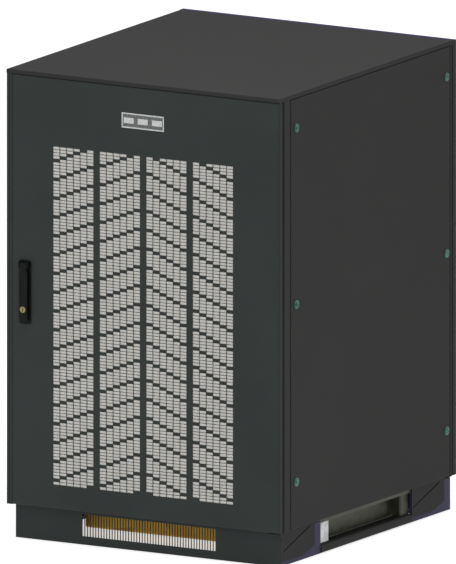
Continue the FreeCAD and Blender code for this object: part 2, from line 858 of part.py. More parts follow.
def moving_contacts():
    """A copper blade for each pole, resting in the jaws of source 1."""
    blades = []
    for x in pole_places():
        x0, x1 = x - blade_thickness / 2, x + blade_thickness / 2
        hub = rod(hub_radius, (x0, shaft_y, shaft_z), (x1, shaft_y, shaft_z))
        arm = block(x0, x1, shaft_y - blade_reach, shaft_y, shaft_z - blade_width / 2,
                    shaft_z + blade_width / 2)
        arm = soften(arm, 6.0, lambda c: abs(c.y - (shaft_y - blade_reach)) < 0.01
                     and abs(abs(c.z - shaft_z) - blade_width / 2) < 0.01)
        blade = hub.fuse(arm).removeSplitter().cut(rod(shaft_radius, (x0 - 1, shaft_y, shaft_z),
                                                       (x1 + 1, shaft_y, shaft_z)))
        blades.append(turned(blade, -contact_angle))
    return blades


def involute_flank(base, start, end, steps=6):
    """Points of an involute as (radius, angle) pairs between two radii."""
    points = []
    for i in range(steps + 1):
        radius = start + (end - start) * i / steps
        ratio = min(1.0, base / radius)
        pressure = math.acos(ratio)
        points.append((radius, math.tan(pressure) - pressure))
    return points


def gear_outline(teeth, angles, centre_y, centre_z):
    """Tooth outlines at the given angles, as points in the YZ plane."""
    pitch = gear_module * teeth / 2
    base = pitch * math.cos(pressure_angle)
    tip = pitch + gear_module
    root = pitch - 1.25 * gear_module
    half = (math.pi * gear_module / 2 - backlash) / pitch / 2
    spread = math.tan(pressure_angle) - pressure_angle
    flank = involute_flank(base, max(base, root), tip)
    points = []
    for angle in angles:
        tooth = [(root, -(half + spread))] if base > root else []
        tooth += [(radius, -(half + spread - turn)) for radius, turn in flank]
        tooth += [(radius, -turn) for radius, turn in reversed(tooth)]
        for radius, turn in tooth:
            points.append((centre_y + radius * math.cos(angle + turn),
                           centre_z + radius * math.sin(angle + turn)))
    return points


def sector_gear():
    """A toothed sector below the shaft, wide enough for the whole swing."""
    step = 2 * math.pi / sector_teeth
    down = -math.pi / 2
    angles = [down + k * step for k in range(-12, 4)]
    rim = gear_outline(sector_teeth, angles, shaft_y, shaft_z)
    points = [(shaft_y, shaft_z)] + rim
    sector = prism("x", points, gear_x, gear_x + gear_width)
    hub = rod(16, (gear_x - 1, shaft_y, shaft_z), (gear_x + gear_width + 4, shaft_y, shaft_z))
    gear = sector.fuse(hub).removeSplitter()
    return [gear.cut(rod(shaft_radius, (gear_x - 2, shaft_y, shaft_z), (gear_x + 20, shaft_y, shaft_z)))]


def pinion_z():
    return shaft_z - gear_module * (sector_teeth + pinion_teeth) / 2


def motor_pinion():
    step = 2 * math.pi / pinion_teeth
    angles = [math.pi / 2 + (k + 0.5) * step for k in range(pinion_teeth)]
    outline = gear_outline(pinion_teeth, angles, shaft_y, pinion_z())
    gear = prism("x", outline, gear_x - 1, gear_x + gear_width + 1)
    stub = rod(pinion_shaft_radius, (gear_x - 3, shaft_y, pinion_z()),
               (gear_x + 28, shaft_y, pinion_z()))
    return [gear.fuse(stub).removeSplitter()]


def gear_motor():
    """A gearbox with an upright motor, on an angle bracket."""
    z = pinion_z()
    x0, x1 = gear_x + gear_width + 8, gear_x + gear_width + 66
    box = block(x0, x1, shaft_y - 33, shaft_y + 37, z - 36, z + 32)
    box = soften(box, 4.0, lambda c: abs(c.x - x1) < 0.01)
    bore = rod(pinion_shaft_radius + running_clearance, (x0 - 1, shaft_y, z), (x0 + 14, shaft_y, z))
    centre = (x0 + x1) / 2
    can = rod(25, (centre, shaft_y, z - 112), (centre, shaft_y, z - 36))
    cap = rod(20, (centre, shaft_y, z - 118), (centre, shaft_y, z - 112))
    path = [(shaft_y + 37, z + 33.5), (plate_front - 1.5, z + 33.5), (plate_front - 1.5, z + 60)]
    bracket = folded("x", path, 3.0, x0 + 6, x1 - 6, 4.0)
    shelf = block(x0 + 6, x1 - 6, shaft_y - 20, shaft_y + 38, z + 32, z + 35)
    return [box.cut(bore).fuse([can, cap]).removeSplitter(), bracket.fuse(shelf).removeSplitter()]


def manual_handle():
    """An emergency lever on the left end of the shaft."""
    x1 = -end_plate_x - end_plate_sheet - 6
    x0 = x1 - 18
    hub = rod(17, (x0, shaft_y, shaft_z), (x1, shaft_y, shaft_z))
    arm = block(x0 + 4, x1 - 4, shaft_y - 120, shaft_y, shaft_z - 6, shaft_z + 6)
    grip = rod(10, ((x0 + x1) / 2, shaft_y - 165, shaft_z), ((x0 + x1) / 2, shaft_y - 105, shaft_z))
    lever = hub.fuse([arm, grip]).removeSplitter()
    lever = lever.cut(rod(shaft_radius, (x0 - 1, shaft_y, shaft_z), (x1 + 1, shaft_y, shaft_z)))
    return [turned(lever, -contact_angle)]


# ---- Breakers and control

def breaker(x):
    """A moulded case with a raised centre, terminal wells and a slot for the toggle."""
    y0 = plate_front - breaker_depth
    z1 = breaker_low + breaker_height
    case = block(x - breaker_width / 2, x + breaker_width / 2, y0 + 12, plate_front, breaker_low, z1)
    case = soften(case, 3.0, lambda c: abs(c.y - y0 - 12) < 0.01)
    nose = block(x - breaker_width / 2 + 4, x + breaker_width / 2 - 4, y0, y0 + 16, breaker_low + 38,
                 z1 - 38)
    nose = soften(nose, 2.0, lambda c: abs(c.y - y0) < 0.01)
    case = case.fuse(nose).removeSplitter()
    for dx in (-32, 0, 32):
        for z in (breaker_low, z1 - 26):
            case = case.cut(block(x + dx - 11, x + dx + 11, y0 + 10, y0 + 42, z - 1 if z == breaker_low else z,
                                  z + 26 if z == breaker_low else z1 + 1))
            case = case.cut(rod(4, (x + dx, y0 + 40, z + 13), (x + dx, y0 + 55, z + 13)))
    middle = toggle_z()
    slot = block(x - toggle_width / 2 - 2, x + toggle_width / 2 + 2, y0 - 1, y0 + 28, middle - 24,
                 middle + 24)
    return case.cut(slot)


def toggle_z():
    return breaker_low + breaker_height / 2


def toggle_y():
    return plate_front - breaker_depth + 16


def toggle(x):
    """A toggle that rests tilted up, in its on position."""
    y, z = toggle_y(), toggle_z()
    half = toggle_width / 2
    drum = rod(8, (x - half, y, z), (x + half, y, z))
    stick = block(x - half + 1, x + half - 1, y - 36, y, z - 4.5, z + 4.5)
    stick = soften(stick, 2.0, lambda c: abs(c.y - (y - 36)) < 0.01)
    shape = drum.fuse(stick).removeSplitter()
    shape.rotate(vec(x, y, z), vec(1, 0, 0), -20)
    return shape


def controller():
    x0, x1 = controller_x - controller_half, controller_x + controller_half
    box = block(x0, x1, controller_front, plate_front, controller_low, controller_high)
    box = soften(box, 3.0, lambda c: abs(c.y - controller_front) < 0.01)
    window = block(controller_x - window_half, controller_x + window_half, controller_front - 1,
                   controller_front + glass_depth, screen_low, screen_high)
    box = box.cut(window)
    for _, dx in button_places:
        x = controller_x + dx
        box = box.cut(rod(button_radius + 0.4, (x, controller_front - 1, button_z),
                          (x, controller_front + 12, button_z)))
    glass_half = window_half - 0.5
    glass = block(controller_x - glass_half, controller_x + glass_half, controller_front + 0.4,
                  controller_front + glass_depth, screen_low + 0.5, screen_high - 0.5)
    return [box, glass]


def button(dx):
    x = controller_x + dx
    cap = rod(button_radius, (x, controller_front - 3, button_z), (x, controller_front + 8, button_z))
    return soften(cap, 1.0, lambda c: abs(c.y - controller_front + 3) < 0.01)


def control_transformer():
    """A laminated core around a wound coil, on feet."""
    x, y, z = 140.0, 160.0, 290.0
    core = block(x - 50, x + 50, y - 22, y + 22, z - 45, z + 45)
    for side in (-1, 1):
        core = core.cut(block(x + side * 25 - 11, x + side * 25 + 11, y - 23, y + 23, z - 28, z + 28))
    coil = block(x - 35, x + 35, y - 34, y + 34, z - 26, z + 26)
    coil = soften(coil, 8.0, lambda c: abs(abs(c.x - x) - 35) < 0.01 and abs(abs(c.y - y) - 34) < 0.01)
    coil = coil.cut(block(x - 14.2, x + 14.2, y - 22.2, y + 22.2, z - 27, z + 27))
    coil = coil.cut(core)
    feet = [block(x - 50, x + 50, y + 22, plate_front, z0, z0 + 3) for z0 in (z - 45, z + 42)]
    return [core, coil] + feet


def din_rail():
    z = 190.0
    path = [(plate_front - 6.5, z - 17.5), (plate_front - 6.5, z - 12.5), (plate_front - 0.5, z - 12.5),
            (plate_front - 0.5, z + 12.5), (plate_front - 6.5, z + 12.5), (plate_front - 6.5, z + 17.5)]
    return [folded("x", path, 1.0, -225, 225, 0.8)]


def rail_device(x0, x1, low, high, depth, step):
    """A moulded device clipped on the rail, with a stepped front."""
    y = plate_front - 7.2
    z = 190.0
    outline = [(y, z + low), (y, z + high), (y - depth + step, z + high), (y - depth, z + high * 0.55),
               (y - depth, z + low * 0.55), (y - depth + step, z + low)]
    return prism("x", outline, x0, x1)


def control_relays():
    return [rail_device(x, x + 26, -35, 35, 62, 14) for x in (-215, -187, -159, -131)]


def terminal_blocks():
    """A row of rail terminals, each with a wire entry and a screw recess."""
    blocks = []
    for i in range(20):
        x = -60 + i * 8.2
        piece = rail_device(x, x + 8, -26, 26, 44, 10)
        y = plate_front - 7.2 - 44
        for z in (184, 196):
            piece = piece.cut(rod(2.4, (x + 4, y - 1, z), (x + 4, y + 9, z)))
        blocks.append(piece)
    return blocks


# ---- Fan

def fan_rear():
    return rear - sheet - 2 * guard_wire - 0.4


def exhaust_fan_frame():
    """A square fan frame with a round bore, and the arms that hold the motor."""
    y1 = fan_rear()
    y0 = y1 - fan_depth
    half = fan_size / 2
    frame = block(-half, half, y0, y1, fan_z - half, fan_z + half)
    frame = soften(frame, 6.0, lambda c: abs(abs(c.x) - half) < 0.01 and abs(abs(c.z - fan_z) - half) < 0.01)
    frame = frame.cut(rod(fan_bore, (0, y0 - 1, fan_z), (0, y1 + 1, fan_z)))
    motor = rod(30, (0, y0, fan_z), (0, y0 + 9, fan_z))
    arms = []
    for k in range(4):
        arm = block(28, fan_bore + 2, y0, y0 + 6, fan_z - 4, fan_z + 4)
        arm.rotate(vec(0, 0, fan_z), vec(0, 1, 0), 45 + 90 * k)
        arms.append(arm)
    pin = rod(3, (0, y0 + 9, fan_z), (0, y0 + 30, fan_z))
    return [frame.fuse([motor, pin] + arms).removeSplitter()]


def fan_rotor():
    """A hub with pitched blades on the motor's pin."""
    y0 = fan_rear() - fan_depth + 11
    y1 = y0 + 28
    hub = rod(fan_hub_radius, (0, y0, fan_z), (0, y1, fan_z))
    hub = soften(hub, 3.0, lambda c: abs(c.y - y1) < 0.01)
    blades = []
    for k in range(fan_blades):
        blade = block(fan_hub_radius - 3, fan_bore - 3, -1.2, 1.2, -22, 22)
        blade.rotate(vec(0, 0, 0), vec(1, 0, 0), 38)
        blade.translate(vec(0, (y0 + y1) / 2, fan_z))
        blade.rotate(vec(0, 0, fan_z), vec(0, 1, 0), 360 / fan_blades * k)
        blades.append(blade)
    rotor = hub.fuse(blades).removeSplitter()
    limit = rod(fan_bore - 2, (0, y0, fan_z), (0, y1, fan_z))
    rotor = rotor.common(limit)
    return [rotor.cut(rod(3 + running_clearance, (0, y0 - 1, fan_z), (0, y0 + 20, fan_z)))]


def fan_guard():
    """Round wire rings on crossed spokes, inside the opening of the rear panel."""
    y_ring = fan_rear() + guard_wire * 0.5 + 0.9
    rings = []
    for radius in (18, 34, 50, 66, 80):
        wire = Part.makeTorus(radius, guard_wire / 2, vec(0, y_ring + guard_wire * 0.8, fan_z),
                              vec(0, 1, 0))
        rings.append(wire)
    spokes = []
    for k in range(4):
        spoke = rod(guard_wire / 2, (-fan_bore - 12, y_ring, fan_z), (fan_bore + 12, y_ring, fan_z))
        spoke.rotate(vec(0, 0, fan_z), vec(0, 1, 0), 45 * k + 22.5)
        spokes.append(spoke)
    return [spokes[0].fuse(spokes[1:] + rings)]


# ---- Door

def lane_starts():
    """The left edge of every lane of slots, mirrored about the middle of the door."""
    starts = []
    column_width = (lanes_per_column - 1) * lane_pitch + slot_width
    for c in range(vent_columns):
        centre = (c - (vent_columns - 1) / 2) * vent_column_pitch
        for k in range(lanes_per_column):
            starts.append(centre - column_width / 2 + k * lane_pitch)
    return starts


def solid_rows(lane):
    """Rows left closed in a lane: they rise by one row for each lane towards the middle."""
    lanes = vent_columns * lanes_per_column
    steps = min(lane, lanes - 1 - lane)
    offset = (first_band_row - steps) % band_rows
    return {row for row in range(vent_rows) if row % band_rows == offset}


def door_skin():
    """The front sheet: a blank border, and a slotted strip for each lane of the vent field."""
    starts = lane_starts()
    y0, y1 = front, front + sheet
    x0 = -half_width + bead_strip
    x1 = half_width - door_edge_radius
    z0, z1 = door_low + door_edge_radius, wall_top - door_edge_radius
    gap = (lane_pitch - slot_width) / 2
    edges = [starts[0] - gap] + [start - gap for start in starts[1:]] + [starts[-1] + slot_width + gap]
    low, high = vent_low - gap, vent_high + gap
    sheet_parts = [border(x0, x1, z0, z1, edges[0], edges[-1], low, high, y0, y1)]
    for lane, start in enumerate(starts):
        closed = solid_rows(lane)
        slots = []
        for row in range(vent_rows):
            if row not in closed:
                z = vent_high - row * row_pitch
                slots.append((start, start + slot_width, z - slot_height, z))
        sheet_parts.append(perforated(edges[lane], edges[lane + 1], low, high, slots, y0, y1))
    return sheet_parts + [folded_edge()]


def border(x0, x1, z0, z1, hole_x0, hole_x1, hole_z0, hole_z1, y0, y1):
    """The blank part of the sheet, with holes for the spindle and the vent field."""
    plain = perforated(x0, x1, z0, z1, [(hole_x0, hole_x1, hole_z0, hole_z1)], y0, y1)
    return plain.cut(rod(spindle_radius + 7.5, (handle_x, y0 - 1, spindle_z),
                         (handle_x, y1 + 1, spindle_z)))


def hinge_way():
    """The clearance for the hinge tubes, through the full height of the door."""
    return rod(hinge_tube_radius + 0.1, (hinge_x, hinge_y, door_low - 1),
               (hinge_x, hinge_y, wall_top + 1))


def folded_edge():
    """The rounded return along the top, the right side and the bottom."""
    r = door_edge_radius
    x0 = -half_width + bead_strip
    shell = block(x0, half_width, front, front + door_return, door_low, wall_top)
    shell = soften(shell, r, lambda c: abs(c.y - front) < 0.01 and c.x > x0 + 1)
    shell = shell.cut(block(x0 - 1, half_width - sheet, front + sheet, front + door_return + 1,
                            door_low + sheet, wall_top - sheet))
    flat = block(x0 - 1, half_width - r, front - 1, front + sheet, door_low + r, wall_top - r)
    return shell.cut(flat).cut(hinge_way())


def edge_bead():
    """The closing edge: a rounded bead between two grooves."""
    x0 = -half_width
    g = bead_groove
    groove_1 = x0 + 5.5
    groove_2 = x0 + bead_strip - g
    y_groove = front + 1.3
    y_bead = front + 0.7
    r = 2.0
    rear_y = front + door_return
    m = x0 + r * (1 - math.sqrt(0.5))
    n = front + r * (1 - math.sqrt(0.5))
    line = Part.makeLine
    p = [vec(x0, rear_y, door_low), vec(x0, front + r, door_low), vec(x0 + r, front, door_low),
         vec(groove_1, front, door_low), vec(groove_1, y_groove, door_low), vec(groove_1 + g, y_groove,
                                                                                door_low),
         vec(groove_1 + g, y_bead, door_low), vec(groove_2, y_bead, door_low), vec(groove_2, y_groove,
                                                                                   door_low),
         vec(groove_2 + g, y_groove, door_low), vec(groove_2 + g, rear_y, door_low)]
    crown = vec((groove_1 + g + groove_2) / 2, front, door_low)
    edges = [line(p[0], p[1]), Part.Arc(p[1], vec(m, n, door_low), p[2]).toShape(), line(p[2], p[3]),
             line(p[3], p[4]), line(p[4], p[5]), line(p[5], p[6]), Part.Arc(p[6], crown, p[7]).toShape(),
             line(p[7], p[8]), line(p[8], p[9]), line(p[9], p[10]), line(p[10], p[0])]
    bar = Part.Face(Part.Wire(edges)).extrude(vec(0, 0, wall_top - door_low))
    hollow = block(x0 + sheet, x0 + bead_strip + 1, front + 3, rear_y + 1, door_low - 1, wall_top + 1)
    return bar.cut(hollow)


def tube(x0, x1, y0, y1, z0, z1, inner):
    return block(x0, x1, y0, y1, z0, z1).cut(block(*inner))


def door_frame():
    """The closing edge, tubular stiles and rails, hinge tubes and rod guides."""
    outer = half_width - door_frame_inset
    y0, y1 = front + sheet, door_rear
    z0, z1 = door_low + door_frame_inset, wall_top - door_frame_inset
    t = sheet
    right = tube(outer - stile_width, outer, y0, y1, z0, z1,
                 (outer - stile_width + t, outer - t, y0 + t, y1 - t, z0 - 1, z1 + 1))
    left_x = -outer + lock_stile_width
    left = tube(-half_width + bead_strip + 0.2, left_x, y0, y1, z0, z1,
                (-half_width + bead_strip + 0.2 + t, left_x - t, y0 + t, y1 - t, z0 - 1, z1 + 1))
    left = left.cut(rod(spindle_radius + 7.5, (handle_x, y0 - 1, spindle_z),
                        (handle_x, y1 + 1, spindle_z)))
    lip = block(-outer, -half_width + bead_strip + 0.2, y1 - t, y1, z0, z1)
    left = left.fuse(lip).removeSplitter()
    right = right.cut(hinge_way())
    sockets = []
    for low in (door_low + 0.3, wall_top - 0.3 - hinge_tube_length):
        sockets.append(ring(hinge_tube_radius, hinge_pin_radius + running_clearance,
                            (hinge_x, hinge_y, low), (hinge_x, hinge_y, low + hinge_tube_length)))
    rails = [tube(left_x, outer - stile_width, y0, y1, z, z + stile_width,
                  (left_x - 1, outer, y0 + t, y1 - t, z + t, z + stile_width - t))
             for z in (z0, z1 - stile_width)]
    return [edge_bead(), left, right] + rails + sockets + rod_guides()


def rod_y():
    return frame_front + 10


def rod_x(sense):
    """The upper rod is on the left of the spindle and the lower rod on its right."""
    return handle_x - sense * cam_radius


def rod_guides():
    guides = []
    for z, sense in ((620, 1), (790, 1), (430, -1), (200, -1)):
        x = rod_x(sense)
        plate = block(x - 6.5, x + 6.5, door_rear, rod_y() + 6.5, z, z + 3)
        guides.append(plate.cut(rod(rod_radius + 0.4, (x, rod_y(), z - 1), (x, rod_y(), z + 4))))
    return guides


def filter_half():
    column_width = (lanes_per_column - 1) * lane_pitch + slot_width
    return (vent_columns - 1) / 2 * vent_column_pitch + column_width / 2 + filter_margin


def filter_mat():
    y0 = front + sheet + 0.2
    return [block(-filter_half(), filter_half(), y0, y0 + filter_thickness,
                  vent_low - filter_margin, vent_high + filter_margin)]


def filter_frame():
    """A holding frame behind the mat, with a bar behind each gap between the columns."""
    y0 = front + sheet + 0.2 + filter_thickness
    bar = filter_frame_bar
    x = filter_half()
    z0, z1 = vent_low - filter_margin, vent_high + filter_margin
    windows = []
    width = (2 * x - 5 * bar) / 4
    rows = 3
    height = (z1 - z0 - (rows + 1) * bar) / rows
    for i in range(4):
        for j in range(rows):
            wx = -x + bar + i * (width + bar)
            wz = z0 + bar + j * (height + bar)
            windows.append((wx, wx + width, wz, wz + height))
    grid = perforated(-x, x, z0, z1, windows, y0, y0 + 2)
    side = x + 1.5
    top = z1 + 1.5
    rim = perforated(-side, side, z0 - 1.5, top, [(-x, x, z0, z1)], front + sheet + 0.2, y0 + 2)
    return [grid.fuse(rim).removeSplitter()]


def door_gasket():
    y0, y1 = door_rear, frame_front - gasket_gap
    x1 = half_width - 12
    x0 = x1 - gasket_width
    z0, z1 = door_low + 12, wall_top - 12
    slab = perforated(-x1, x1, z0, z1, [(-x0, x0, z0 + gasket_width, z1 - gasket_width)], y0, y1)
    return [slab]


def door_badge():
    """A plain plate with a raised border and three raised bars."""
    half = badge_width / 2
    y0 = front - badge_thickness
    base = block(-half, half, front - 0.6, front, badge_low, badge_high)
    rim = perforated(-half, half, badge_low, badge_high,
                     [(-half + 2, half - 2, badge_low + 2, badge_high - 2)], y0, front - 0.6)
    bars = [block(-half + 8 + i * 27, -half + 29 + i * 27, y0, front - 0.6, badge_low + 8,
                  badge_high - 8)
            for i in range(3)]
    return [base.fuse([rim] + bars).removeSplitter()]


# ---- Handle and latch

def rounded_plate(centre, half, low, high, start, end):
    """An upright plate with rounded corners."""
    body = block(centre - half, centre + half, start, end, low, high)
    return soften(body, grip_corner, lambda c: abs(c.y - (start + end) / 2) < 0.01 and
                  abs(abs(c.x - centre) - half) < 0.01)


def handle_dish():
    half = dish_width / 2
    y0 = front - dish_thickness
    dish = rounded_plate(handle_x, half, dish_low, dish_high, y0, front)
    dish = soften(dish, 0.8, lambda c: abs(c.y - y0) < 0.01)
    return [dish.cut(rod(11.3, (handle_x, y0 - 1, spindle_z), (handle_x, front + 1, spindle_z)))]


def lever_y():
    """The middle of the lever's thickness."""
    return front - dish_thickness - 0.6 - lever_thickness / 2 - 0.4


def handle_spindle():
    """The turning disc with two ears, its shaft, and the cam with two pins."""
    y_front = front - dish_thickness - 0.3
    disc = rod(11, (handle_x, y_front, spindle_z), (handle_x, front + 1, spindle_z))
    shaft = rod(spindle_radius, (handle_x, front, spindle_z), (handle_x, rod_y() - 5, spindle_z))
    ears = []
    for side in (-1, 1):
        x0, x1 = sorted((handle_x + side * (lever_neck / 2 + 0.2),
                         handle_x + side * (lever_neck / 2 + 2.6)))
        ear = block(x0, x1, lever_y() - 3, y_front + 0.0, spindle_z + 2, lever_pivot_z + 4)
        ear = ear.fuse(block(x0, x1, y_front - 0.1, y_front + 0.2, spindle_z + 2, lever_pivot_z))
        ears.append(ear)
    pivot = rod(lever_pin_radius, (handle_x - lever_neck / 2 - 2.6, lever_y(), lever_pivot_z),
                (handle_x + lever_neck / 2 + 2.6, lever_y(), lever_pivot_z))
    cam_y0 = rod_y() - 6
    cam = block(handle_x - cam_radius - 4, handle_x + cam_radius + 4, cam_y0 - 3, cam_y0,
                spindle_z - 5.5, spindle_z + 5.5)
    pins = [rod(cam_pin_radius, (handle_x + side * cam_radius, cam_y0 - 1, spindle_z),
                (handle_x + side * cam_radius, rod_y() + 4, spindle_z)) for side in (-1, 1)]
    return [disc.fuse([shaft, pivot, cam] + ears + pins).removeSplitter()]


def handle_lever():
    """The grip: it lifts about its upper pin, and carries the lock."""
    y = lever_y()
    half = lever_thickness / 2
    low = lever_low
    grip = rounded_plate(handle_x, lever_width / 2, low, spindle_z - 2, y - half, y + half)
    neck = block(handle_x - lever_neck / 2, handle_x + lever_neck / 2, y - half, y + half,
                 spindle_z - 20, lever_pivot_z)
    nose = rod(half, (handle_x - lever_neck / 2, y, lever_pivot_z),
               (handle_x + lever_neck / 2, y, lever_pivot_z))
    grip = grip.fuse([neck, nose]).removeSplitter()
    grip = grip.cut(rod(lever_pin_radius + running_clearance, (handle_x - 20, y, lever_pivot_z),
                        (handle_x + 20, y, lever_pivot_z)))
    return [grip.cut(rod(lock_radius + running_clearance, (handle_x, y - 10, lock_z),
                         (handle_x, y + half - 1.4, lock_z)))]


def lock_cylinder():
    y = lever_y()
    half = lever_thickness / 2
    plug = rod(lock_radius, (handle_x, y - half - 0.5, lock_z), (handle_x, y + half - 1.5, lock_z))
    slot = block(handle_x - 0.8, handle_x + 0.8, y - half - 1, y - half + 3, lock_z - 3.6, lock_z + 3.6)
    return [plug.cut(slot)]


def latch_rod(sense):
    """A round rod with a slotted plate at the spindle's cam; the two plates lie side by side."""
    x = rod_x(sense)
    y = rod_y()
    if sense > 0:
        tip = wall_top - rail_height - keeper_drop - rod_tip_gap
    else:
        tip = plinth_height + rail_height + keeper_drop + rod_tip_gap
    shank = rod(rod_radius, (x, y, spindle_z + sense * 14), (x, y, tip))
    inner = cam_pin_radius + slot_play + tab_end
    outer = cam_radius + inner
    x0, x1 = sorted((handle_x - sense * outer, handle_x + sense * inner))
    y0, y1 = sorted((y - sense * 0.3, y - sense * rod_radius))
    slot_half = cam_pin_radius + cam_play
    half = slot_half + tab_wall
    tab = block(x0, x1, y0, y1, spindle_z - half, spindle_z + half)
    root_z = sorted((spindle_z + sense * slot_half, spindle_z + sense * 18))
    root = block(x - 4, x + 4, y0, y1, *root_z)
    slot = block(x0 + tab_end, x1 - tab_end, y0 - 1, y1 + 1, spindle_z - slot_half,
                 spindle_z + slot_half)
    return [shank.fuse([root, tab]).removeSplitter().cut(slot)]


makers = {
    "plinth_front_skirt": plinth_front_skirt,
    "plinth_rear_skirt": plinth_rear_skirt,
    "plinth_side_plates": plinth_side_plates,
    "plinth_corner_brackets": plinth_corner_brackets,
    "plinth_inner_members": plinth_inner_members,
    "plinth_stiffeners": plinth_stiffeners,
    "base_zinc_members": base_zinc_members,
    "bottom_frame": bottom_frame,
    "gland_plate": gland_plate,
    "cable_glands": cable_glands,
    "top_frame": top_frame,
    "front_posts": front_posts,
    "rear_posts": rear_posts,
    "right_side_panel": lambda: [side_panel()],
    "left_side_panel": lambda: [mirrored(side_panel())],
    "panel_screws": panel_screws,
    "top_cover": top_cover,
    "rear_panel": rear_panel,
    "hinge_brackets": hinge_brackets,
    "latch_keepers": latch_keepers,
    "plate_rails": plate_rails,
    "mounting_plate": mounting_plate,
    "switch_base": switch_base,
    "switch_end_plates": switch_end_plates,
    "source_1_contacts": source_1_contacts,
    "source_2_contacts": source_2_contacts,
    "load_contacts": load_contacts,
    "phase_barriers": phase_barriers,
    "switch_shaft": switch_shaft,
    "moving_contacts": moving_contacts,
    "sector_gear": sector_gear,
    "manual_handle": manual_handle,
    "motor_pinion": motor_pinion,
    "gear_motor": gear_motor,
    "source_1_breaker": lambda: [breaker(-breaker_x)],
    "source_2_breaker": lambda: [breaker(breaker_x)],
    "source_1_toggle": lambda: [toggle(-breaker_x)],
    "source_2_toggle": lambda: [toggle(breaker_x)],
    "controller": controller,
    "control_transformer": control_transformer,
    "din_rail": din_rail,
    "control_relays": control_relays,
    "terminal_blocks": terminal_blocks,
    "exhaust_fan_frame": exhaust_fan_frame,
    "fan_rotor": fan_rotor,
    "fan_guard": fan_guard,
    "door_skin": door_skin,
    "door_frame": door_frame,
    "filter_mat": filter_mat,
    "filter_frame": filter_frame,
    "door_gasket": door_gasket,
    "door_badge": door_badge,
    "handle_dish": handle_dish,
    "handle_spindle": handle_spindle,
    "handle_lever": handle_lever,
    "lock_cylinder": lock_cylinder,
    "upper_latch_rod": lambda: latch_rod(1),
    "lower_latch_rod": lambda: latch_rod(-1),
}

for node, maker in makers.items():
    save(node, maker())
for node, dx in button_places:
    save(node, [button(dx)])
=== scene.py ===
import json
import math
import bpy
import bmesh
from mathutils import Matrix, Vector, noise


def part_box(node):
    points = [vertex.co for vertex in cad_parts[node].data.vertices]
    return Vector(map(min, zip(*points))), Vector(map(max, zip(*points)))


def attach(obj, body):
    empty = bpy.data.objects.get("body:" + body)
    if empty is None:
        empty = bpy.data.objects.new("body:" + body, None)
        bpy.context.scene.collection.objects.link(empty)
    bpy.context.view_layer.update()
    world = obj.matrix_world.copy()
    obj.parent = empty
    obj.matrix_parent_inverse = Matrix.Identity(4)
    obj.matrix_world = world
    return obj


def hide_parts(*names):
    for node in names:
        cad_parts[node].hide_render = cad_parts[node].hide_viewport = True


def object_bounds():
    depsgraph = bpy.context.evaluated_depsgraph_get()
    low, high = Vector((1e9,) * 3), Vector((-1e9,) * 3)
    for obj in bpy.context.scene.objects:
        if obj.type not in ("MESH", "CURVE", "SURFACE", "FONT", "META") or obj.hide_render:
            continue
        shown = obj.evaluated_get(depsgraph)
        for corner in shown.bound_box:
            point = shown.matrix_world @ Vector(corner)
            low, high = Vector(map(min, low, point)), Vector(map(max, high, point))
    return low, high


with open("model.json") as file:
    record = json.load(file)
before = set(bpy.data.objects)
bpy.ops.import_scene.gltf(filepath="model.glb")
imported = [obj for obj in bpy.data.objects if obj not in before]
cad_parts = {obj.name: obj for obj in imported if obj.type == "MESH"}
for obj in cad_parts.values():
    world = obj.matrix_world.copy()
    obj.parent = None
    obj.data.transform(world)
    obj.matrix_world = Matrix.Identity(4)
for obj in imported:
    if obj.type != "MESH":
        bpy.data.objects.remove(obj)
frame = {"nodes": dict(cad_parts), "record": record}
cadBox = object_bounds()
cadNodes = frame["nodes"]
slotOfNode = {row["node"]: row["material_slot"] for row in frame["record"]["subparts"]}
jointPlace = {row["name"]: Vector(row["pos_m"]) for row in frame["record"]["behaviour"]["joints"]
              if "pos_m" in row}
print("frame loaded:", len(cadNodes), "nodes")


# camera: a parallel view onto the door and the right side

cameraLook = {"azimuth": 30.0, "elevation": 11.34, "height": 1.0733, "aimRight": -0.00685,
              "aimUp": 0.4601, "away": 3.5}


def placeCamera(look):
    a = math.radians(look["azimuth"])
    e = math.radians(look["elevation"])
    back = Vector((math.sin(a) * math.cos(e), -math.cos(a) * math.cos(e), math.sin(e)))
    right = Vector((math.cos(a), math.sin(a), 0))
    up = back.cross(right)
    data = bpy.data.cameras.new("viewCamera")
    data.type = "ORTHO"
    data.ortho_scale = look["height"]
    data.clip_end = 60
    camera = bpy.data.objects.new("viewCamera", data)
    camera.location = right * look["aimRight"] + up * look["aimUp"] + back * look["away"]
    camera.rotation_mode = "QUATERNION"
    camera.rotation_quaternion = (-back).to_track_quat("-Z", "Y")
    bpy.context.scene.collection.objects.link(camera)
    bpy.context.scene.camera = camera


placeCamera(cameraLook)
print("camera placed")


# shader trees written as sums

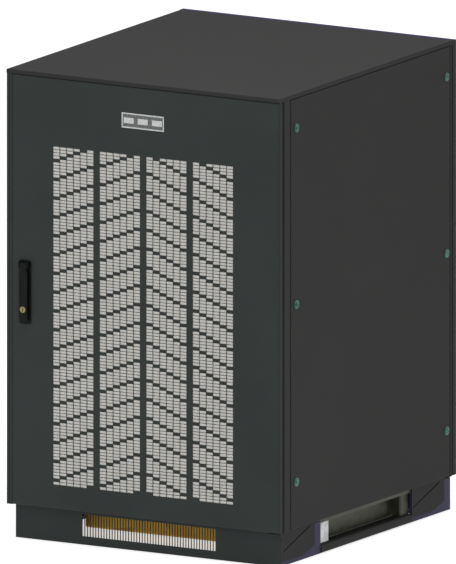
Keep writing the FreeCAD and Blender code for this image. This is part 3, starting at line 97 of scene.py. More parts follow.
class Wire:
    # one output of a tree; sums of wires add Math, Vector Math or Mix nodes
    def __init__(self, finish, socket):
        self.finish = finish
        self.socket = socket

    def join(self, operation, first, second):
        kinds = [side.socket.type for side in (first, second) if isinstance(side, Wire)]
        if "RGBA" in kinds:
            sides = [side if isinstance(side, Wire) else (side, side, side, 1)
                     for side in (first, second)]
            settings = {"data_type": "RGBA", "blend_type": operation}
            return self.finish.add("ShaderNodeMix", settings, {0: 1.0, 6: sides[0], 7: sides[1]}, 2)
        if "VECTOR" in kinds:
            sides = [side if isinstance(side, (Wire, tuple)) else (side, side, side)
                     for side in (first, second)]
            return self.finish.add("ShaderNodeVectorMath", {"operation": operation},
                                   {0: sides[0], 1: sides[1]})
        return self.finish.add("ShaderNodeMath", {"operation": operation}, {0: first, 1: second})

    def __add__(self, other):
        return self.join("ADD", self, other)

    def __radd__(self, other):
        return self.join("ADD", other, self)

    def __sub__(self, other):
        return self.join("SUBTRACT", self, other)

    def __rsub__(self, other):
        return self.join("SUBTRACT", other, self)

    def __mul__(self, other):
        return self.join("MULTIPLY", self, other)

    def __rmul__(self, other):
        return self.join("MULTIPLY", other, self)

    def __abs__(self):
        return self.finish.add("ShaderNodeMath", {"operation": "ABSOLUTE"}, {0: self})

    def span(self, low, high, start=0.0, end=1.0):
        # low..high becomes start..end, smoothly, and is held at both
        return self.finish.add("ShaderNodeMapRange", {"interpolation_type": "SMOOTHSTEP"},
                               {"Value": self, "From Min": low, "From Max": high,
                                "To Min": start, "To Max": end})

    def axis(self, index):
        return self.finish.add("ShaderNodeSeparateXYZ", {}, {0: self}, index)


class Finish:
    # a material whose tree is built one node at a time
    def __init__(self, name):
        self.material = bpy.data.materials.new(name)
        self.material.use_nodes = True
        self.tree = self.material.node_tree
        self.tree.nodes.clear()
        self.place = self.add("ShaderNodeTexCoord", {}, {}, "Object")

    def add(self, kind, settings, values, output=0):
        node = self.tree.nodes.new(kind)
        for key, value in settings.items():
            setattr(node, key, value)
        for key, value in values.items():
            if isinstance(value, Wire):
                self.tree.links.new(value.socket, node.inputs[key])
            else:
                node.inputs[key].default_value = value
        return Wire(self, node.outputs[output]) if node.outputs else node

    def noise(self, scale, detail=2.0, roughness=0.5, place=None):
        values = {"Vector": place or self.place, "Scale": scale, "Detail": detail, "Roughness": roughness}
        return self.add("ShaderNodeTexNoise", {}, values)

    def cells(self, scale, output="Distance", feature="F1", place=None):
        return self.add("ShaderNodeTexVoronoi", {"feature": feature},
                        {"Vector": place or self.place, "Scale": scale}, output)

    def blend(self, first, second, amount):
        return self.add("ShaderNodeMix", {"data_type": "RGBA"}, {0: amount, 6: first, 7: second}, 2)

    def flatNormal(self):
        return self.add("ShaderNodeNewGeometry", {}, {}, "Normal")

    def edges(self, radius):
        # how near a place lies to an edge, which drives edge wear on most finishes and a painted edge sheen
        # on the mouldings, and the softened normal
        soft = self.add("ShaderNodeBevel", {"samples": 4}, {"Radius": radius})
        facing = self.add("ShaderNodeVectorMath", {"operation": "DOT_PRODUCT"},
                          {0: soft, 1: self.flatNormal()}, "Value")
        return (1 - facing).span(0.01, 0.2), soft

    def relief(self, height, strength, depth, normal=None):
        values = {"Height": height, "Strength": strength, "Distance": depth}
        if normal is not None:
            values["Normal"] = normal
        return self.add("ShaderNodeBump", {}, values)

    def surface(self, fixed, colour, roughness, normal):
        values = dict(fixed)
        values.update({"Base Color": colour, "Roughness": roughness, "Normal": normal})
        shader = self.add("ShaderNodeBsdfPrincipled", {}, values)
        self.add("ShaderNodeOutputMaterial", {}, {"Surface": shader})
        return self.material


def tint(colour, factor=1.0):
    return (colour[0] * factor, colour[1] * factor, colour[2] * factor, 1)


print("shader tools ready")


# finishes of the sheet metal

powderLooks = {
    "cabinetPowderCoat": {"colour": (0.019, 0.019, 0.0185), "rubbed": (0.06, 0.06, 0.06), "edge": 0.0012,
                          "specular": 0.12, "edging": None},
    # the door coat is the cabinet's real dark grey; its greenish cast and slightly higher value are painted
    # light, a greenish front light painted into its colour
    "doorCoatPaintedGreenishLight": {"colour": (0.0205, 0.0248, 0.024), "rubbed": (0.06, 0.065, 0.065), "edge": 0.0012,
                       "specular": 0.14, "edging": None},
    "rearPowderCoat": {"colour": (0.019, 0.019, 0.0185), "rubbed": (0.06, 0.06, 0.06), "edge": 0.0012,
                       "specular": 0.12, "edging": (0.022, 0.020, 0.062)},
    "navyPlinthPaint": {"colour": (0.022, 0.020, 0.055), "rubbed": (0.07, 0.07, 0.11), "edge": 0.0012,
                        "specular": 0.3, "edging": None},
}


def powderCoat(name):
    look = powderLooks[name]
    finish = Finish(name)
    edgeWearAndSheen, soft = finish.edges(look["edge"])
    cloud = finish.noise(5.0, 4.0, 0.6)
    grain = finish.noise(900.0, 2.0, 0.6)
    speck = finish.noise(260.0, 1.0).span(0.66, 0.74)
    colour = finish.blend(tint(look["colour"], 0.93), tint(look["colour"], 1.07), cloud.span(0.35, 0.65))
    colour = finish.blend(colour, tint(look["colour"], 1.25), speck * 0.5)
    if look["edging"]:
        upward = finish.flatNormal().axis(2).span(0.5, 0.8)
        colour = finish.blend(colour, tint(look["edging"]), upward)
    patchy = finish.noise(38.0, 3.0, 0.6).span(0.42, 0.62, 0.25, 1.0)
    colour = finish.blend(colour, tint(look["rubbed"]), edgeWearAndSheen * patchy * 0.45)
    roughness = 0.5 + grain * 0.16 + cloud * 0.08 - edgeWearAndSheen * 0.08
    normal = finish.relief(grain, 0.16, 0.0003, soft)
    return finish.surface({"Specular IOR Level": look["specular"]}, colour, roughness, normal)


zincLooks = {
    "galvanisedSheet": {"dark": (0.36, 0.37, 0.38), "light": (0.58, 0.59, 0.6), "spangle": 70.0, "metal": 0.9,
                        "rough": 0.36},
    "yellowZinc": {"dark": (0.33, 0.17, 0.015), "light": (0.6, 0.36, 0.04), "spangle": 24.0, "metal": 0.45,
                   "rough": 0.38},
    "oliveZincAngles": {"dark": (0.032, 0.033, 0.022), "light": (0.07, 0.073, 0.05), "spangle": 60.0,
                        "metal": 0.4, "rough": 0.42},
    "tealZincScrews": {"dark": (0.02, 0.07, 0.052), "light": (0.06, 0.17, 0.135), "spangle": 160.0,
                       "metal": 0.55,
                       "rough": 0.3},
}


def zincSheet(name):
    look = zincLooks[name]
    finish = Finish(name)
    edgeWearAndSheen, soft = finish.edges(0.0008)
    flake = finish.cells(look["spangle"], "Color").axis(0)
    drift = finish.noise(look["spangle"] * 0.3, 3.0, 0.55)
    scratch = finish.noise(220.0, 2.0, 0.6, finish.place * (1.0, 1.0, 9.0)).span(0.6, 0.72)
    tone = (flake * 0.55 + drift * 0.6).span(0.2, 0.95)
    colour = finish.blend(tint(look["dark"]), tint(look["light"]), tone)
    colour = finish.blend(colour, tint(look["light"], 1.2), edgeWearAndSheen * 0.5 + scratch * 0.12)
    roughness = look["rough"] + flake * 0.14 + scratch * 0.1 - edgeWearAndSheen * 0.08
    normal = finish.relief(flake * 0.5 + drift, 0.12, 0.0004, soft)
    return finish.surface({"Specular IOR Level": 0.4, "Metallic": look["metal"]}, colour, roughness, normal)


# finishes of the machined and cast metal

metalLooks = {
    "machinedSteel": {"dark": (0.34, 0.34, 0.35), "light": (0.6, 0.6, 0.6), "grain": (1.0, 1.0, 14.0),
                      "rough": 0.3,
                      "tarnish": (0.2, 0.17, 0.14)},
    "busbarCopper": {"dark": (0.62, 0.30, 0.17), "light": (0.82, 0.45, 0.29), "grain": (14.0, 1.0, 1.0),
                     "rough": 0.28, "tarnish": (0.32, 0.13, 0.08)},
    "lockBrass": {"dark": (0.13, 0.10, 0.035), "light": (0.34, 0.27, 0.12), "grain": (8.0, 8.0, 1.0),
                  "rough": 0.24,
                  "tarnish": (0.3, 0.18, 0.05)},
    "brushedBadgeSilver": {"dark": (0.25, 0.26, 0.26), "light": (0.6, 0.61, 0.61), "grain": (1.0, 1.0, 22.0),
                           "rough": 0.34, "tarnish": (0.35, 0.36, 0.36)},
}


def brushedMetal(name):
    look = metalLooks[name]
    finish = Finish(name)
    edgeWearAndSheen, soft = finish.edges(0.0006)
    brush = finish.noise(320.0, 3.0, 0.65, finish.place * look["grain"])
    smudge = finish.noise(26.0, 4.0, 0.6)
    colour = finish.blend(tint(look["dark"]), tint(look["light"]), brush.span(0.3, 0.7))
    colour = finish.blend(colour, tint(look["tarnish"]), smudge.span(0.55, 0.75) * 0.35)
    colour = finish.blend(colour, tint(look["light"], 1.1), edgeWearAndSheen * 0.6)
    roughness = look["rough"] + brush * 0.16 + smudge * 0.1
    normal = finish.relief(brush, 0.1, 0.0002, soft)
    return finish.surface({"Metallic": 0.95}, colour, roughness, normal)


castLooks = {
    "motorHousingPaint": {"colour": (0.12, 0.13, 0.14), "pit": 420.0, "relief": 0.4, "rough": 0.5,
                          "metal": 0.0},
    "varnishedCore": {"colour": (0.09, 0.085, 0.08), "pit": 200.0, "relief": 0.2, "rough": 0.4,
                      "metal": 0.35},
}


def castPaint(name):
    look = castLooks[name]
    finish = Finish(name)
    edgeWearAndSheen, soft = finish.edges(0.0015)
    pit = finish.noise(look["pit"], 3.0, 0.65)
    sheetLines = finish.add("ShaderNodeTexWave", {"bands_direction": "X"},
                            {"Vector": finish.place, "Scale": 320.0, "Distortion": 0.4}, 1)
    cloud = finish.noise(18.0, 3.0)
    colour = finish.blend(tint(look["colour"], 0.8), tint(look["colour"], 1.25), cloud.span(0.3, 0.7))
    colour = finish.blend(colour, tint((0.3, 0.29, 0.28)), edgeWearAndSheen * cloud.span(0.4, 0.6) * 0.5)
    height = pit + sheetLines * (0.6 if look["metal"] > 0 else 0.0)
    roughness = look["rough"] + pit * 0.2
    normal = finish.relief(height, look["relief"], 0.0005, soft)
    return finish.surface({"Metallic": look["metal"], "Specular IOR Level": 0.4}, colour, roughness, normal)


# finishes of the mouldings, board, fibre and rubber

plasticLooks = {
    "redThermoset": {"colour": (0.26, 0.045, 0.03), "rough": 0.42, "grain": 620.0, "specular": 0.45},
    "redGripPlastic": {"colour": (0.55, 0.025, 0.02), "rough": 0.32, "grain": 500.0, "specular": 0.5},
    "greenKeyPlastic": {"colour": (0.02, 0.33, 0.08), "rough": 0.3, "grain": 500.0, "specular": 0.5},
    "yellowKeyPlastic": {"colour": (0.75, 0.5, 0.02), "rough": 0.3, "grain": 500.0, "specular": 0.5},
    "breakerMoulding": {"colour": (0.055, 0.06, 0.066), "rough": 0.46, "grain": 760.0, "specular": 0.4},
    "blackNylon": {"colour": (0.016, 0.016, 0.017), "rough": 0.44, "grain": 700.0, "specular": 0.35},
    "satinBlackHandle": {"colour": (0.002, 0.003, 0.0028), "rough": 0.36, "grain": 900.0, "specular": 0.11},
    "greyInstrumentCase": {"colour": (0.38, 0.39, 0.38), "rough": 0.48, "grain": 800.0, "specular": 0.4},
    "terminalNylon": {"colour": (0.46, 0.46, 0.41), "rough": 0.44, "grain": 640.0, "specular": 0.4},
}


def mouldedPlastic(name):
    look = plasticLooks[name]
    finish = Finish(name)
    edgeWearAndSheen, soft = finish.edges(0.0009)
    spark = finish.noise(look["grain"], 2.0, 0.6)
    flow = finish.noise(14.0, 4.0, 0.6)
    colour = finish.blend(tint(look["colour"], 0.88), tint(look["colour"], 1.12), flow.span(0.35, 0.65))
    # painted highlight: the edges of the mouldings are blended toward a paler copy of their colour as a
    # painted sheen
    paintedEdgeSheen = [2.2 * part + 0.01 for part in look["colour"]]
    colour = finish.blend(colour, tint(paintedEdgeSheen), edgeWearAndSheen * 0.3)
    roughness = look["rough"] + spark * 0.14 + flow * 0.06 - edgeWearAndSheen * 0.1
    normal = finish.relief(spark, 0.14, 0.00025, soft)
    return finish.surface({"Specular IOR Level": look["specular"]}, colour, roughness, normal)


boardLook = {"pale": (0.70, 0.64, 0.49), "dark": (0.50, 0.43, 0.30)}


def pressedBoard(look):
    finish = Finish("pressedBoard")
    edgeWearAndSheen, soft = finish.edges(0.0006)
    fibre = finish.noise(420.0, 4.0, 0.7, finish.place * (1.0, 1.0, 3.0))
    blotch = finish.noise(22.0, 3.0)
    colour = finish.blend(tint(look["pale"]), tint(look["dark"]), fibre.span(0.4, 0.75) * 0.5 + blotch * 0.25)
    colour = finish.blend(colour, tint(look["dark"], 0.8), edgeWearAndSheen * 0.5)
    return finish.surface({"Specular IOR Level": 0.3}, colour, 0.62 + fibre * 0.2,
                          finish.relief(fibre, 0.3, 0.0003, soft))


fibreLook = {"light": (0.62, 0.61, 0.58), "dark": (0.38, 0.37, 0.35), "strand": 900.0}


def needledFibre(look):
    finish = Finish("needledFilterFibre")
    warp = finish.noise(120.0, 2.0)
    strand = finish.noise(look["strand"], 4.0, 0.75, finish.place * (1.0, 1.0, 2.6))
    tangle = finish.cells(look["strand"] * 0.6, "Distance", "DISTANCE_TO_EDGE")
    cloud = finish.noise(16.0, 3.0, 0.6)
    tone = strand.span(0.3, 0.7) * 0.6 + warp * 0.25 + cloud * 0.25
    colour = finish.blend(tint(look["dark"]), tint(look["light"]), tone)
    height = strand + tangle.span(0.0, 0.12) * 0.5 + warp * 0.6
    return finish.surface({"Specular IOR Level": 0.15, "Sheen Weight": 0.25, "Sheen Roughness": 0.6}, colour,
                          0.86 + strand * 0.12, finish.relief(height, 0.5, 0.0005))


foamLook = {"colour": (0.022, 0.022, 0.023), "pore": 700.0}


def foamRubber(look):
    finish = Finish("foamRubber")
    pore = finish.cells(look["pore"])
    cloud = finish.noise(40.0, 3.0)
    tone = cloud.span(0.3, 0.7) * 0.6 + pore * 0.4
    colour = finish.blend(tint(look["colour"], 0.8), tint(look["colour"], 1.5), tone)
    return finish.surface({"Specular IOR Level": 0.25}, colour, 0.7 + pore * 0.2,
                          finish.relief(pore, 0.5, 0.0004))


finishOfSlot = {
    "dark_paint": powderCoat("cabinetPowderCoat"), "door_paint": powderCoat("doorCoatPaintedGreenishLight"),
    "navy_paint": powderCoat("navyPlinthPaint"), "galvanised": zincSheet("galvanisedSheet"),
    "yellow_zinc": zincSheet("yellowZinc"), "teal_zinc": zincSheet("tealZincScrews"),
    "olive_zinc": zincSheet("oliveZincAngles"),
    "steel": brushedMetal("machinedSteel"), "copper": brushedMetal("busbarCopper"),
    "lock_brass": brushedMetal("lockBrass"), "badge_silver": brushedMetal("brushedBadgeSilver"),
    "motor_grey": castPaint("motorHousingPaint"), "core_steel": castPaint("varnishedCore"),
    "moulded_resin": mouldedPlastic("redThermoset"), "red_plastic": mouldedPlastic("redGripPlastic"),
    "green_plastic": mouldedPlastic("greenKeyPlastic"), "yellow_plastic": mouldedPlastic("yellowKeyPlastic"),
    "breaker_case": mouldedPlastic("breakerMoulding"), "black_plastic": mouldedPlastic("blackNylon"),
    "handle_black": mouldedPlastic("satinBlackHandle"), "control_grey": mouldedPlastic("greyInstrumentCase"),
    "terminal_plastic": mouldedPlastic("terminalNylon"), "barrier_board": pressedBoard(boardLook),
    "filter_fibre": needledFibre(fibreLook), "gasket_rubber": foamRubber(foamLook),
}
finishOfNode = {"rear_panel": powderCoat("rearPowderCoat")}

for node, slot in slotOfNode.items():
    cadObject = cadNodes[node]
    cadObject.data.materials.clear()
    cadObject.data.materials.append(finishOfNode.get(node, finishOfSlot[slot]))
print("finishes made:", len(finishOfSlot) + 1)


# mesh helpers

def newPiece(name, points, faces, finish):
    mesh = bpy.data.meshes.new(name)
    mesh.from_pydata([tuple(p) for p in points], [], faces)
    work = bmesh.new()
    work.from_mesh(mesh)
    loose = [v for v in work.verts if not v.link_faces]
    bmesh.ops.delete(work, geom=loose, context="VERTS")
    work.to_mesh(mesh)
    work.free()
    mesh.validate()
    mesh.materials.append(finish)
    piece = bpy.data.objects.new(name, mesh)
    bpy.context.scene.collection.objects.link(piece)
    return piece


def addBevel(piece, width, segments=1, angle=40.0):
    bevel = piece.modifiers.new("softEdges", "BEVEL")
    bevel.width = width
    bevel.segments = segments
    bevel.limit_method = "ANGLE"
    bevel.angle_limit = math.radians(angle)
    bevel.use_clamp_overlap = True
    return bevel


def settle(piece, smoothBelow=35.0):
    # applies the modifiers and smooths what meets at a small angle
    bpy.context.view_layer.update()
    shown = piece.evaluated_get(bpy.context.evaluated_depsgraph_get())
    mesh = bpy.data.meshes.new_from_object(shown)
    old = piece.data
    piece.modifiers.clear()
    piece.data = mesh
    bpy.data.meshes.remove(old)
    mesh.name = piece.name
    for face in mesh.polygons:
        face.use_smooth = True
    mesh.set_sharp_from_angle(angle=math.radians(smoothBelow))
    return piece


def cutWith(piece, cutter):
    # subtracts a helper solid, which is then removed
    cut = piece.modifiers.new("cut", "BOOLEAN")
    cut.operation = "DIFFERENCE"
    cut.solver = "EXACT"
    cut.object = cutter
    settle(piece)
    mesh = cutter.data
    bpy.data.objects.remove(cutter)
    bpy.data.meshes.remove(mesh)


def roundBar(name, radius, start, end, sides=48):
    start, end = Vector(start), Vector(end)
    along = (end - start).normalized()
    across = along.orthogonal().normalized()
    other = along.cross(across)
    points = []
    for centre in (start, end):
        for k in range(sides):
            turn = 2 * math.pi * k / sides
            points.append(centre + (across * math.cos(turn) + other * math.sin(turn)) * radius)
    faces = [(k, (k + 1) % sides, sides + (k + 1) % sides, sides + k) for k in range(sides)]
    faces += [tuple(reversed(range(sides))), tuple(range(sides, 2 * sides))]
    return newPiece(name, points, faces, finishOfSlot["steel"])


# door sheet: one pressed sheet with its slots and folded edges

skinLook = {"sheet": 0.001, "fold": 0.004, "foldSteps": 4, "returnDepth": 0.010,
            "columns": 4, "columnPitch": 0.10225, "lanes": 6, "lanePitch": 0.01488, "slotWidth": 0.0143,
            "slotHeight": 0.0054, "rowPitch": 0.006083, "rows": 108, "closedEvery": 6, "firstClosed": 4,
            "filterMargin": 0.005, "rim": 0.00015, "spindleWay": 0.009, "hingeWay": 0.013}


def foldStops(end, sense, look):
    # flat edge, rounded fold and straight return: (place across, drop of the fold, depth of the return)
    radius = look["fold"]
    stops = []
    for k in range(1, look["foldSteps"] + 1):
        turn = math.pi / 2 * k / look["foldSteps"]
        stops.append((end + sense * (radius * math.sin(turn) - radius), radius * (1 - math.cos(turn)), 0.0))
    stops.append((end, radius, look["returnDepth"] - radius))
    return stops if sense > 0 else stops[::-1]


def spanOf(place, spans):
    for k, (start, end) in enumerate(spans):
        if start < place < end:
            return k
    return None


def makeDoorSkin(look):
    low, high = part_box("door_skin")
    filterLow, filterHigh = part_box("filter_mat")
    spindleLow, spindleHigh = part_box("handle_spindle")
    spindle = (spindleLow + spindleHigh) / 2
    ventTop = filterHigh.z - look["filterMargin"]
    laneCount = look["columns"] * look["lanes"]
    columnWidth = (look["lanes"] - 1) * look["lanePitch"] + look["slotWidth"]
    lanes = []
    for c in range(look["columns"]):
        start = (c - (look["columns"] - 1) / 2) * look["columnPitch"] - columnWidth / 2
        lanes += [(start + k * look["lanePitch"], start + k * look["lanePitch"] + look["slotWidth"])
                  for k in range(look["lanes"])]
    rowSpans = [(ventTop - r * look["rowPitch"] - look["slotHeight"], ventTop - r * look["rowPitch"])
                for r in range(look["rows"])]
    way = look["spindleWay"]
    spindleZ = jointPlace["handle_turning"].z
    flatX = [low.x, spindle.x - way, spindle.x + way] + [x for lane in lanes for x in lane]
    flatX += [high.x - look["hingeWay"], high.x - look["fold"]]
    flatZ = [low.z + look["fold"], spindleZ - way, spindleZ + way, high.z - look["fold"]]
    flatZ += [z for span in rowSpans for z in span]
    columns = [(x, 0.0, 0.0) for x in sorted(flatX)] + foldStops(high.x, 1, look)
    rows = foldStops(low.z, -1, look) + [(z, 0.0, 0.0) for z in sorted(flatZ)] + foldStops(high.z, 1, look)
    points = []
    for x, dropX, backX in columns:
        for z, dropZ, backZ in rows:
            points.append((x, low.y + max(dropX, dropZ) + max(backX, backZ), z))
    tall = len(rows)
    faces = []
    for i in range(len(columns) - 1):
        x, _, _ = columns[i]
        sideReturn = columns[i + 1][2] > 0
        lane = spanOf((x + columns[i + 1][0]) / 2, lanes)
        steps = None if lane is None else min(lane, laneCount - 1 - lane)
        for j in range(tall - 1):
            z = rows[j][0]
            endReturn = rows[j][2] > 0 or rows[j + 1][2] > 0
            row = spanOf((z + rows[j + 1][0]) / 2, rowSpans)
            if lane is not None and row is not None:
                if row % look["closedEvery"] != (look["firstClosed"] - steps) % look["closedEvery"]:
                    continue
            if sideReturn and endReturn:
                continue
            if endReturn and x > high.x - look["hingeWay"] - 0.0001 and x < high.x - 0.0013:
                continue
            if abs((x + columns[i + 1][0]) / 2 - spindle.x) < way / 2 and abs(z + way - spindleZ) < way / 2:
                continue
            a = i * tall + j
            faces.append((a, a + tall, a + tall + 1, a + 1))
    skin = newPiece("doorSkin", points, faces, finishOfSlot["door_paint"])
    thick = skin.modifiers.new("sheetThickness", "SOLIDIFY")
    thick.thickness = look["sheet"]
    thick.offset = -1.0
    thick.use_even_offset = True
    addBevel(skin, look["rim"])
    settle(skin, 30.0)
    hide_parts("door_skin")
    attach(skin, "door")
    return skin


makeDoorSkin(skinLook)
print("door sheet pressed")


# filter mat: a needled pad held by the bars of its frame

filterLook = {"across": 110, "tall": 170, "fuzz": 0.00022, "fuzzScale": 260.0, "edge": 0.004, "bulge": 0.0009,
              "bar": 0.008, "columns": 4, "rows": 3, "press": 0.00045}


def openness(place, low, high, bar, count):
    # 0 behind a bar of the frame and 1 in the middle of a window
    window = (high - low - (count + 1) * bar) / count
    offset = (place - low - bar) % (window + bar)
    if place < low + bar or offset > window:
        return 0.0
    return math.sin(math.pi * offset / window) ** 0.6


def makeFilterPad(look):
    low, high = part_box("filter_mat")
    across, tall = look["across"], look["tall"]
    points = []
    for side in (0, 1):
        for i in range(across + 1):
            x = low.x + (high.x - low.x) * i / across
            for j in range(tall + 1):
                z = low.z + (high.z - low.z) * j / tall
                rim = min(x - low.x, high.x - x, z - low.z, high.z - z) / look["edge"]
                round_ = (1 - math.sqrt(max(0.0, 1 - (1 - min(rim, 1.0)) ** 2))) * (high.y - low.y) * 0.4
                fuzz = (noise.noise(Vector((x, side * 3.0, z)) * look["fuzzScale"]) + 1) * 0.5 * look["fuzz"]
                if side == 0:
                    y = low.y + round_ + fuzz - look["press"]
                else:
                    swell = openness(x, low.x, high.x, look["bar"], look["columns"])
                    swell *= openness(z, low.z, high.z, look["bar"], look["rows"])
                    y = high.y - round_ - fuzz + swell * look["bulge"]
                points.append((x, y, z))
    sheet = (across + 1) * (tall + 1)
    faces = []
    for i in range(across):
        for j in range(tall):
            a = i * (tall + 1) + j
            b = a + tall + 1
            faces.append((a, b, b + 1, a + 1))
            faces.append((sheet + a, sheet + a + 1, sheet + b + 1, sheet + b))
    for i in range(across):
        for j in (0, tall):
            a = i * (tall + 1) + j
            b = a + tall + 1
            faces.append((a, sheet + a, sheet + b, b) if j == 0 else (a, b, sheet + b, sheet + a))
    for j in range(tall):
        for i in (0, across):
            a = i * (tall + 1) + j
            side = (a, a + 1, sheet + a + 1, sheet + a)
            faces.append(side if i == 0 else (a, sheet + a, sheet + a + 1, a + 1))
    pad = newPiece("filterPad", points, faces, finishOfSlot["filter_fibre"])
    settle(pad, 60.0)
    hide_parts("filter_mat")
    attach(pad, "door")
    return pad


makeFilterPad(filterLook)
print("filter pad made")


# door gasket: a soft D section with two lips, mitred at the corners

gasketLook = {"width": 0.010, "lip": 0.18, "steps": 10}


def makeDoorGasket(look):
    low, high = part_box("door_gasket")
    width, rise = look["width"], high.y - low.y
    section = [(0.0, 0.0)]
    for k in range(look["steps"] + 1):
        t = k / look["steps"]
        crown = math.sin(math.pi * t) ** 0.5
        groove = look["lip"] * math.exp(-((t - 0.5) / 0.07) ** 2)
        section.append((0.06 + 0.88 * t, max(0.05, crown - groove)))
    section.append((1.0, 0.0))
    points = []
    for u, v in section:
        inset = u * width
        y = low.y + v * rise
        points += [(low.x + inset, y, low.z + inset), (high.x - inset, y, low.z + inset),
                   (high.x - inset, y, high.z - inset), (low.x + inset, y, high.z - inset)]
    faces = []
    count = len(section)
    for s in range(count):
        here, after = s * 4, (s + 1) % count * 4
        for k in range(4):
            faces.append((here + k, here + (k + 1) % 4, after + (k + 1) % 4, after + k))
    gasket = newPiece("doorGasket", points, faces, finishOfSlot["gasket_rubber"])
    settle(gasket, 50.0)
    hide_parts("door_gasket")
    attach(gasket, "door")
    return gasket


makeDoorGasket(gasketLook)
print("gasket made")


# badge: a bordered plate with three raised bars on a hammered ground

badgeLook = {"border": 0.0022, "chamfer": 0.0005, "bars": 3, "barShare": 0.24, "barHeight": 0.38,
             "barLift": 0.0004, "ground": (0.03, 0.031, 0.031), "groundLight": (0.16, 0.165, 0.165)}


def hammeredGround(look):
    finish = Finish("hammeredBadgeGround")
    dent = finish.cells(700.0)
    stain = finish.noise(420.0, 3.0, 0.6)
    colour = finish.blend(tint(look["ground"]), tint(look["groundLight"]), stain.span(0.36, 0.62))
    return finish.surface({"Metallic": 0.6}, colour, 0.4 + dent * 0.25, finish.relief(dent, 0.5, 0.0003))


def makeBadge(look):
    low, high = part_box("door_badge")
    metal = finishOfSlot["badge_silver"]
    points, faces, picks = [], [], []

    def ring(x0, z0, x1, z1, y):
        start = len(points)
        points.extend([(x0, y, z0), (x1, y, z0), (x1, y, z1), (x0, y, z1)])
        return start

    def wall(a, b):
        for k in range(4):
            after = (k + 1) % 4
            faces.append((a + k, a + after, b + after, b + k))
            picks.append(0)

    def cap(a, pick):
        faces.append((a, a + 1, a + 2, a + 3))
        picks.append(pick)

    rim, soft = look["border"], look["chamfer"]
    floor = low.y + (high.y - low.y) * 0.5
    back = ring(low.x, low.z, high.x, high.z, high.y)
    outer = ring(low.x, low.z, high.x, high.z, low.y + soft)
    top = ring(low.x + soft, low.z + soft, high.x - soft, high.z - soft, low.y)
    inner = ring(low.x + rim, low.z + rim, high.x - rim, high.z - rim, low.y)
    foot = ring(low.x + rim + soft, low.z + rim + soft, high.x - rim - soft, high.z - rim - soft, floor)
    faces.append((back + 3, back + 2, back + 1, back))
    picks.append(0)
    for a, b in ((back, outer), (outer, top), (top, inner), (inner, foot)):
        wall(a, b)
    cap(foot, 1)
    wide, tall = high.x - low.x, high.z - low.z
    for k in range(look["bars"]):
        x = low.x + wide * (k + 0.5) / look["bars"]
        z = (low.z + high.z) / 2
        dx, dz = wide * look["barShare"] / 2, tall * look["barHeight"] / 2
        below = ring(x - dx, z - dz, x + dx, z + dz, floor + soft * 0.5)
        above = ring(x - dx + soft, z - dz + soft, x + dx - soft, z + dz - soft, floor - look["barLift"])
        faces.append((below + 3, below + 2, below + 1, below))
        picks.append(0)
        wall(below, above)
        cap(above, 0)
    badge = newPiece("badgePlate", points, faces, metal)
    badge.data.materials.append(hammeredGround(look))
    for face, pick in zip(badge.data.polygons, picks):
        face.material_index = pick
    settle(badge, 30.0)
    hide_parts("door_badge")
    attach(badge, "door")
    return badge


makeBadge(badgeLook)
print("badge made")


# handle grip: a tapered moulding with a thumb hollow, finger ribs and ways for its lock and pin

gripLook = {"sections": 96, "sides": 44, "corner": 0.0022, "end": 0.005, "shoulder": 0.526,
            "shoulderRun": 0.003,
            "neck": 0.0078, "waist": 0.0006, "hollow": 0.0013, "hollowFrom": 0.462, "hollowTo": 0.516,
            "rib": 0.0005, "ribPitch": 0.0052, "lockRadius": 0.00608, "lockFloor": 0.0014,
            "pinRadius": 0.00168}


def gripHalf(z, low, high, half, look):
    # half the width of the grip at a height
    if z > look["shoulder"]:
        return look["neck"]
    into = min((look["shoulder"] - z) / look["shoulderRun"], 1.0)
    width = look["neck"] + (half - look["neck"]) * math.sin(into * math.pi / 2)
    share = (z - low) / (look["shoulder"] - low)
    width -= look["waist"] * math.sin(math.pi * share)
    rounded = min((z - low) / look["end"], 1.0)
    return width - look["end"] * (1 - math.sqrt(max(0.0, 1 - (1 - rounded) ** 2)))


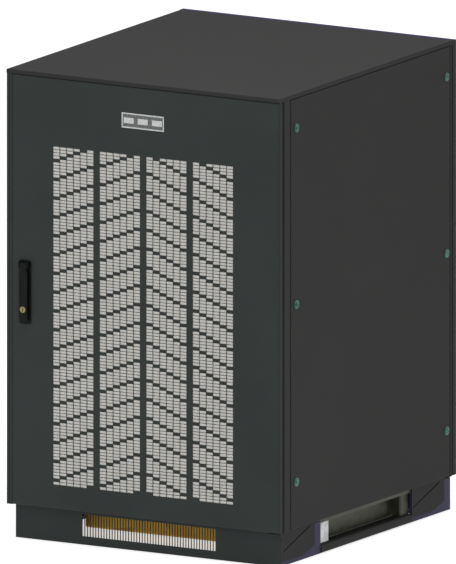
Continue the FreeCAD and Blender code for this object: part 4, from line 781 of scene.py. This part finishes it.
def makeGrip(look):
    low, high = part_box("handle_lever")
    centre = (low.x + high.x) / 2
    middle, thick = (low.y + high.y) / 2, (high.y - low.y) / 2
    half = (high.x - low.x) / 2
    lockZ, pinZ = jointPlace["lock_turning"].z, jointPlace["handle_lifting"].z
    points = []
    for s in range(look["sections"] + 1):
        z = low.z + (high.z - low.z) * s / look["sections"]
        w = gripHalf(z, low.z, high.z, half, look)
        nose = max(0.0, (z - (high.z - thick)) / thick)
        t = thick * math.sqrt(max(0.02, 1 - nose ** 2))
        corner = min(look["corner"], t * 0.7)
        dip = 0.0
        if look["hollowFrom"] < z < look["hollowTo"]:
            share = (z - look["hollowFrom"]) / (look["hollowTo"] - look["hollowFrom"])
            dip = look["hollow"] * math.sin(math.pi * share) ** 0.6
            wave = 0.5 + 0.5 * math.cos(2 * math.pi * z / look["ribPitch"])
            dip += look["rib"] * wave * math.sin(math.pi * share)
        for k in range(look["sides"]):
            turn = 2 * math.pi * (k + 0.5) / look["sides"]
            c, d = math.cos(turn), math.sin(turn)
            x = max(-1.0, min(1.0, c * 1.9)) * (w - corner) + c * corner
            y = max(-1.0, min(1.0, d * 1.9)) * (t - corner) + d * corner
            if d < 0:
                y += dip * max(0.0, 1 - (x / (w * 0.82)) ** 4)
            points.append((centre + x, middle + y, z))
    n = look["sides"]
    faces = []
    for s in range(look["sections"]):
        for k in range(n):
            a, b = s * n + k, s * n + (k + 1) % n
            faces.append((a, b, b + n, a + n))
    last = look["sections"] * n
    faces += [tuple(reversed(range(n))), tuple(range(last, last + n))]
    grip = newPiece("handleGrip", points, faces, finishOfSlot["handle_black"])
    lockWay = roundBar("lockWay", look["lockRadius"], (centre, low.y - 0.01, lockZ),
                       (centre, high.y - look["lockFloor"], lockZ))
    cutWith(grip, lockWay)
    pinWay = roundBar("pinWay", look["pinRadius"], (low.x - 0.01, middle, pinZ),
                      (high.x + 0.01, middle, pinZ))
    cutWith(grip, pinWay)
    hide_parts("handle_lever")
    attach(grip, "handle_lift")
    return grip


makeGrip(gripLook)
print("grip moulded")


# controller screen: a dark panel with a row of plain bars and one rule

screenLook = {"inset": 0.0008, "paper": (0.02, 0.055, 0.06), "ink": (0.25, 0.62, 0.6),
              "windowHalf": 0.045, "windowFoot": 0.060, "windowTop": 0.112,
              "bars": (0.2, 0.42, 0.3, 0.55, 0.36, 0.48)}


def displayGlass(name, colour):
    finish = Finish(name)
    dust = finish.noise(160.0, 3.0, 0.6)
    smear = finish.noise(24.0, 3.0, 0.6)
    tone = finish.blend(tint(colour, 0.85), tint(colour, 1.15), smear.span(0.35, 0.65))
    return finish.surface({"Specular IOR Level": 0.5}, tone, 0.12 + dust * 0.12,
                          finish.relief(dust, 0.03, 0.0001))


def makeScreen(look):
    low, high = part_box("controller")
    middle, front = (low.x + high.x) / 2, low.y
    reach = look["windowHalf"] - look["inset"]
    x0, x1 = middle - reach, middle + reach
    z0, z1 = low.z + look["windowFoot"] + look["inset"], low.z + look["windowTop"] - look["inset"]
    points, faces, picks = [], [], []

    def tile(a, c, b, d, y, pick):
        start = len(points)
        for depth in (y, front + 0.0004):
            points.extend([(a, depth, c), (b, depth, c), (b, depth, d), (a, depth, d)])
        faces.append((start, start + 1, start + 2, start + 3))
        faces.append((start + 7, start + 6, start + 5, start + 4))
        for k in range(4):
            after = (k + 1) % 4
            faces.append((start + k, start + 4 + k, start + 4 + after, start + after))
        picks.extend([pick] * 6)

    tile(x0, z0, x1, z1, front + 0.0002, 0)
    wide, tall = x1 - x0, z1 - z0
    count = len(look["bars"])
    for k, height in enumerate(look["bars"]):
        left = x0 + wide * (0.1 + 0.8 * k / count)
        tile(left, z0 + tall * 0.2, left + wide * 0.09, z0 + tall * (0.2 + height), front, 1)
    tile(x0 + wide * 0.08, z0 + tall * 0.1, x1 - wide * 0.08, z0 + tall * 0.14, front, 1)
    screen = newPiece("controllerScreen", points, faces, displayGlass("displayGlass", look["paper"]))
    screen.data.materials.append(displayGlass("displayInk", look["ink"]))
    for face, pick in zip(screen.data.polygons, picks):
        face.material_index = pick
    settle(screen, 30.0)
    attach(screen, "cabinet")
    return screen


makeScreen(screenLook)
print("screen made")


# stage and light

stageLook = {"floor": (0.8, 0.8, 0.8), "glow": 0.55, "size": 15.0, "sky": 0.62}


def makeStage(look):
    finish = Finish("paleFloor")
    cloud = finish.noise(0.6, 2.0)
    colour = finish.blend(tint(look["floor"], 0.98), tint(look["floor"], 1.02), cloud)
    material = finish.surface({"Specular IOR Level": 0.1, "Emission Color": (1, 1, 1, 1),
                               "Emission Strength": look["glow"]}, colour, 0.9 + cloud * 0.05,
                              finish.relief(cloud, 0.05, 0.001))
    half = look["size"]
    corners = [(-half, -half, 0), (half, -half, 0), (half, half, 0), (-half, half, 0)]
    floor = newPiece("paleFloor", corners, [(0, 1, 2, 3)], material)
    floor.location.z = cadBox[0].z - 0.0005
    world = bpy.data.worlds.new("paleStudio")
    world.use_nodes = True
    sky = world.node_tree.nodes["Background"]
    sky.inputs["Color"].default_value = (1, 1, 1, 1)
    sky.inputs["Strength"].default_value = look["sky"]
    bpy.context.scene.world = world


def addLamp(name, place, aim, size, power):
    data = bpy.data.lights.new(name, "AREA")
    data.shape = "DISK"
    data.size = size
    data.energy = power
    lamp = bpy.data.objects.new(name, data)
    lamp.location = place
    lamp.rotation_euler = (Vector(aim) - Vector(place)).to_track_quat("-Z", "Y").to_euler()
    bpy.context.scene.collection.objects.link(lamp)


lampLooks = {
    "overheadLamp": {"place": (0.4, -0.6, 3.2), "aim": (0, 0, 0.9), "size": 2.4, "power": 60.0},
    "doorLamp": {"place": (-1.6, -2.8, 1.6), "aim": (0, 0, 0.5), "size": 1.6, "power": 16.0},
}

makeStage(stageLook)
for name, look in lampLooks.items():
    addLamp(name, look["place"], look["aim"], look["size"], look["power"])
bpy.context.scene.view_settings.view_transform = "Standard"
print("stage lit")

bpy.context.view_layer.update()
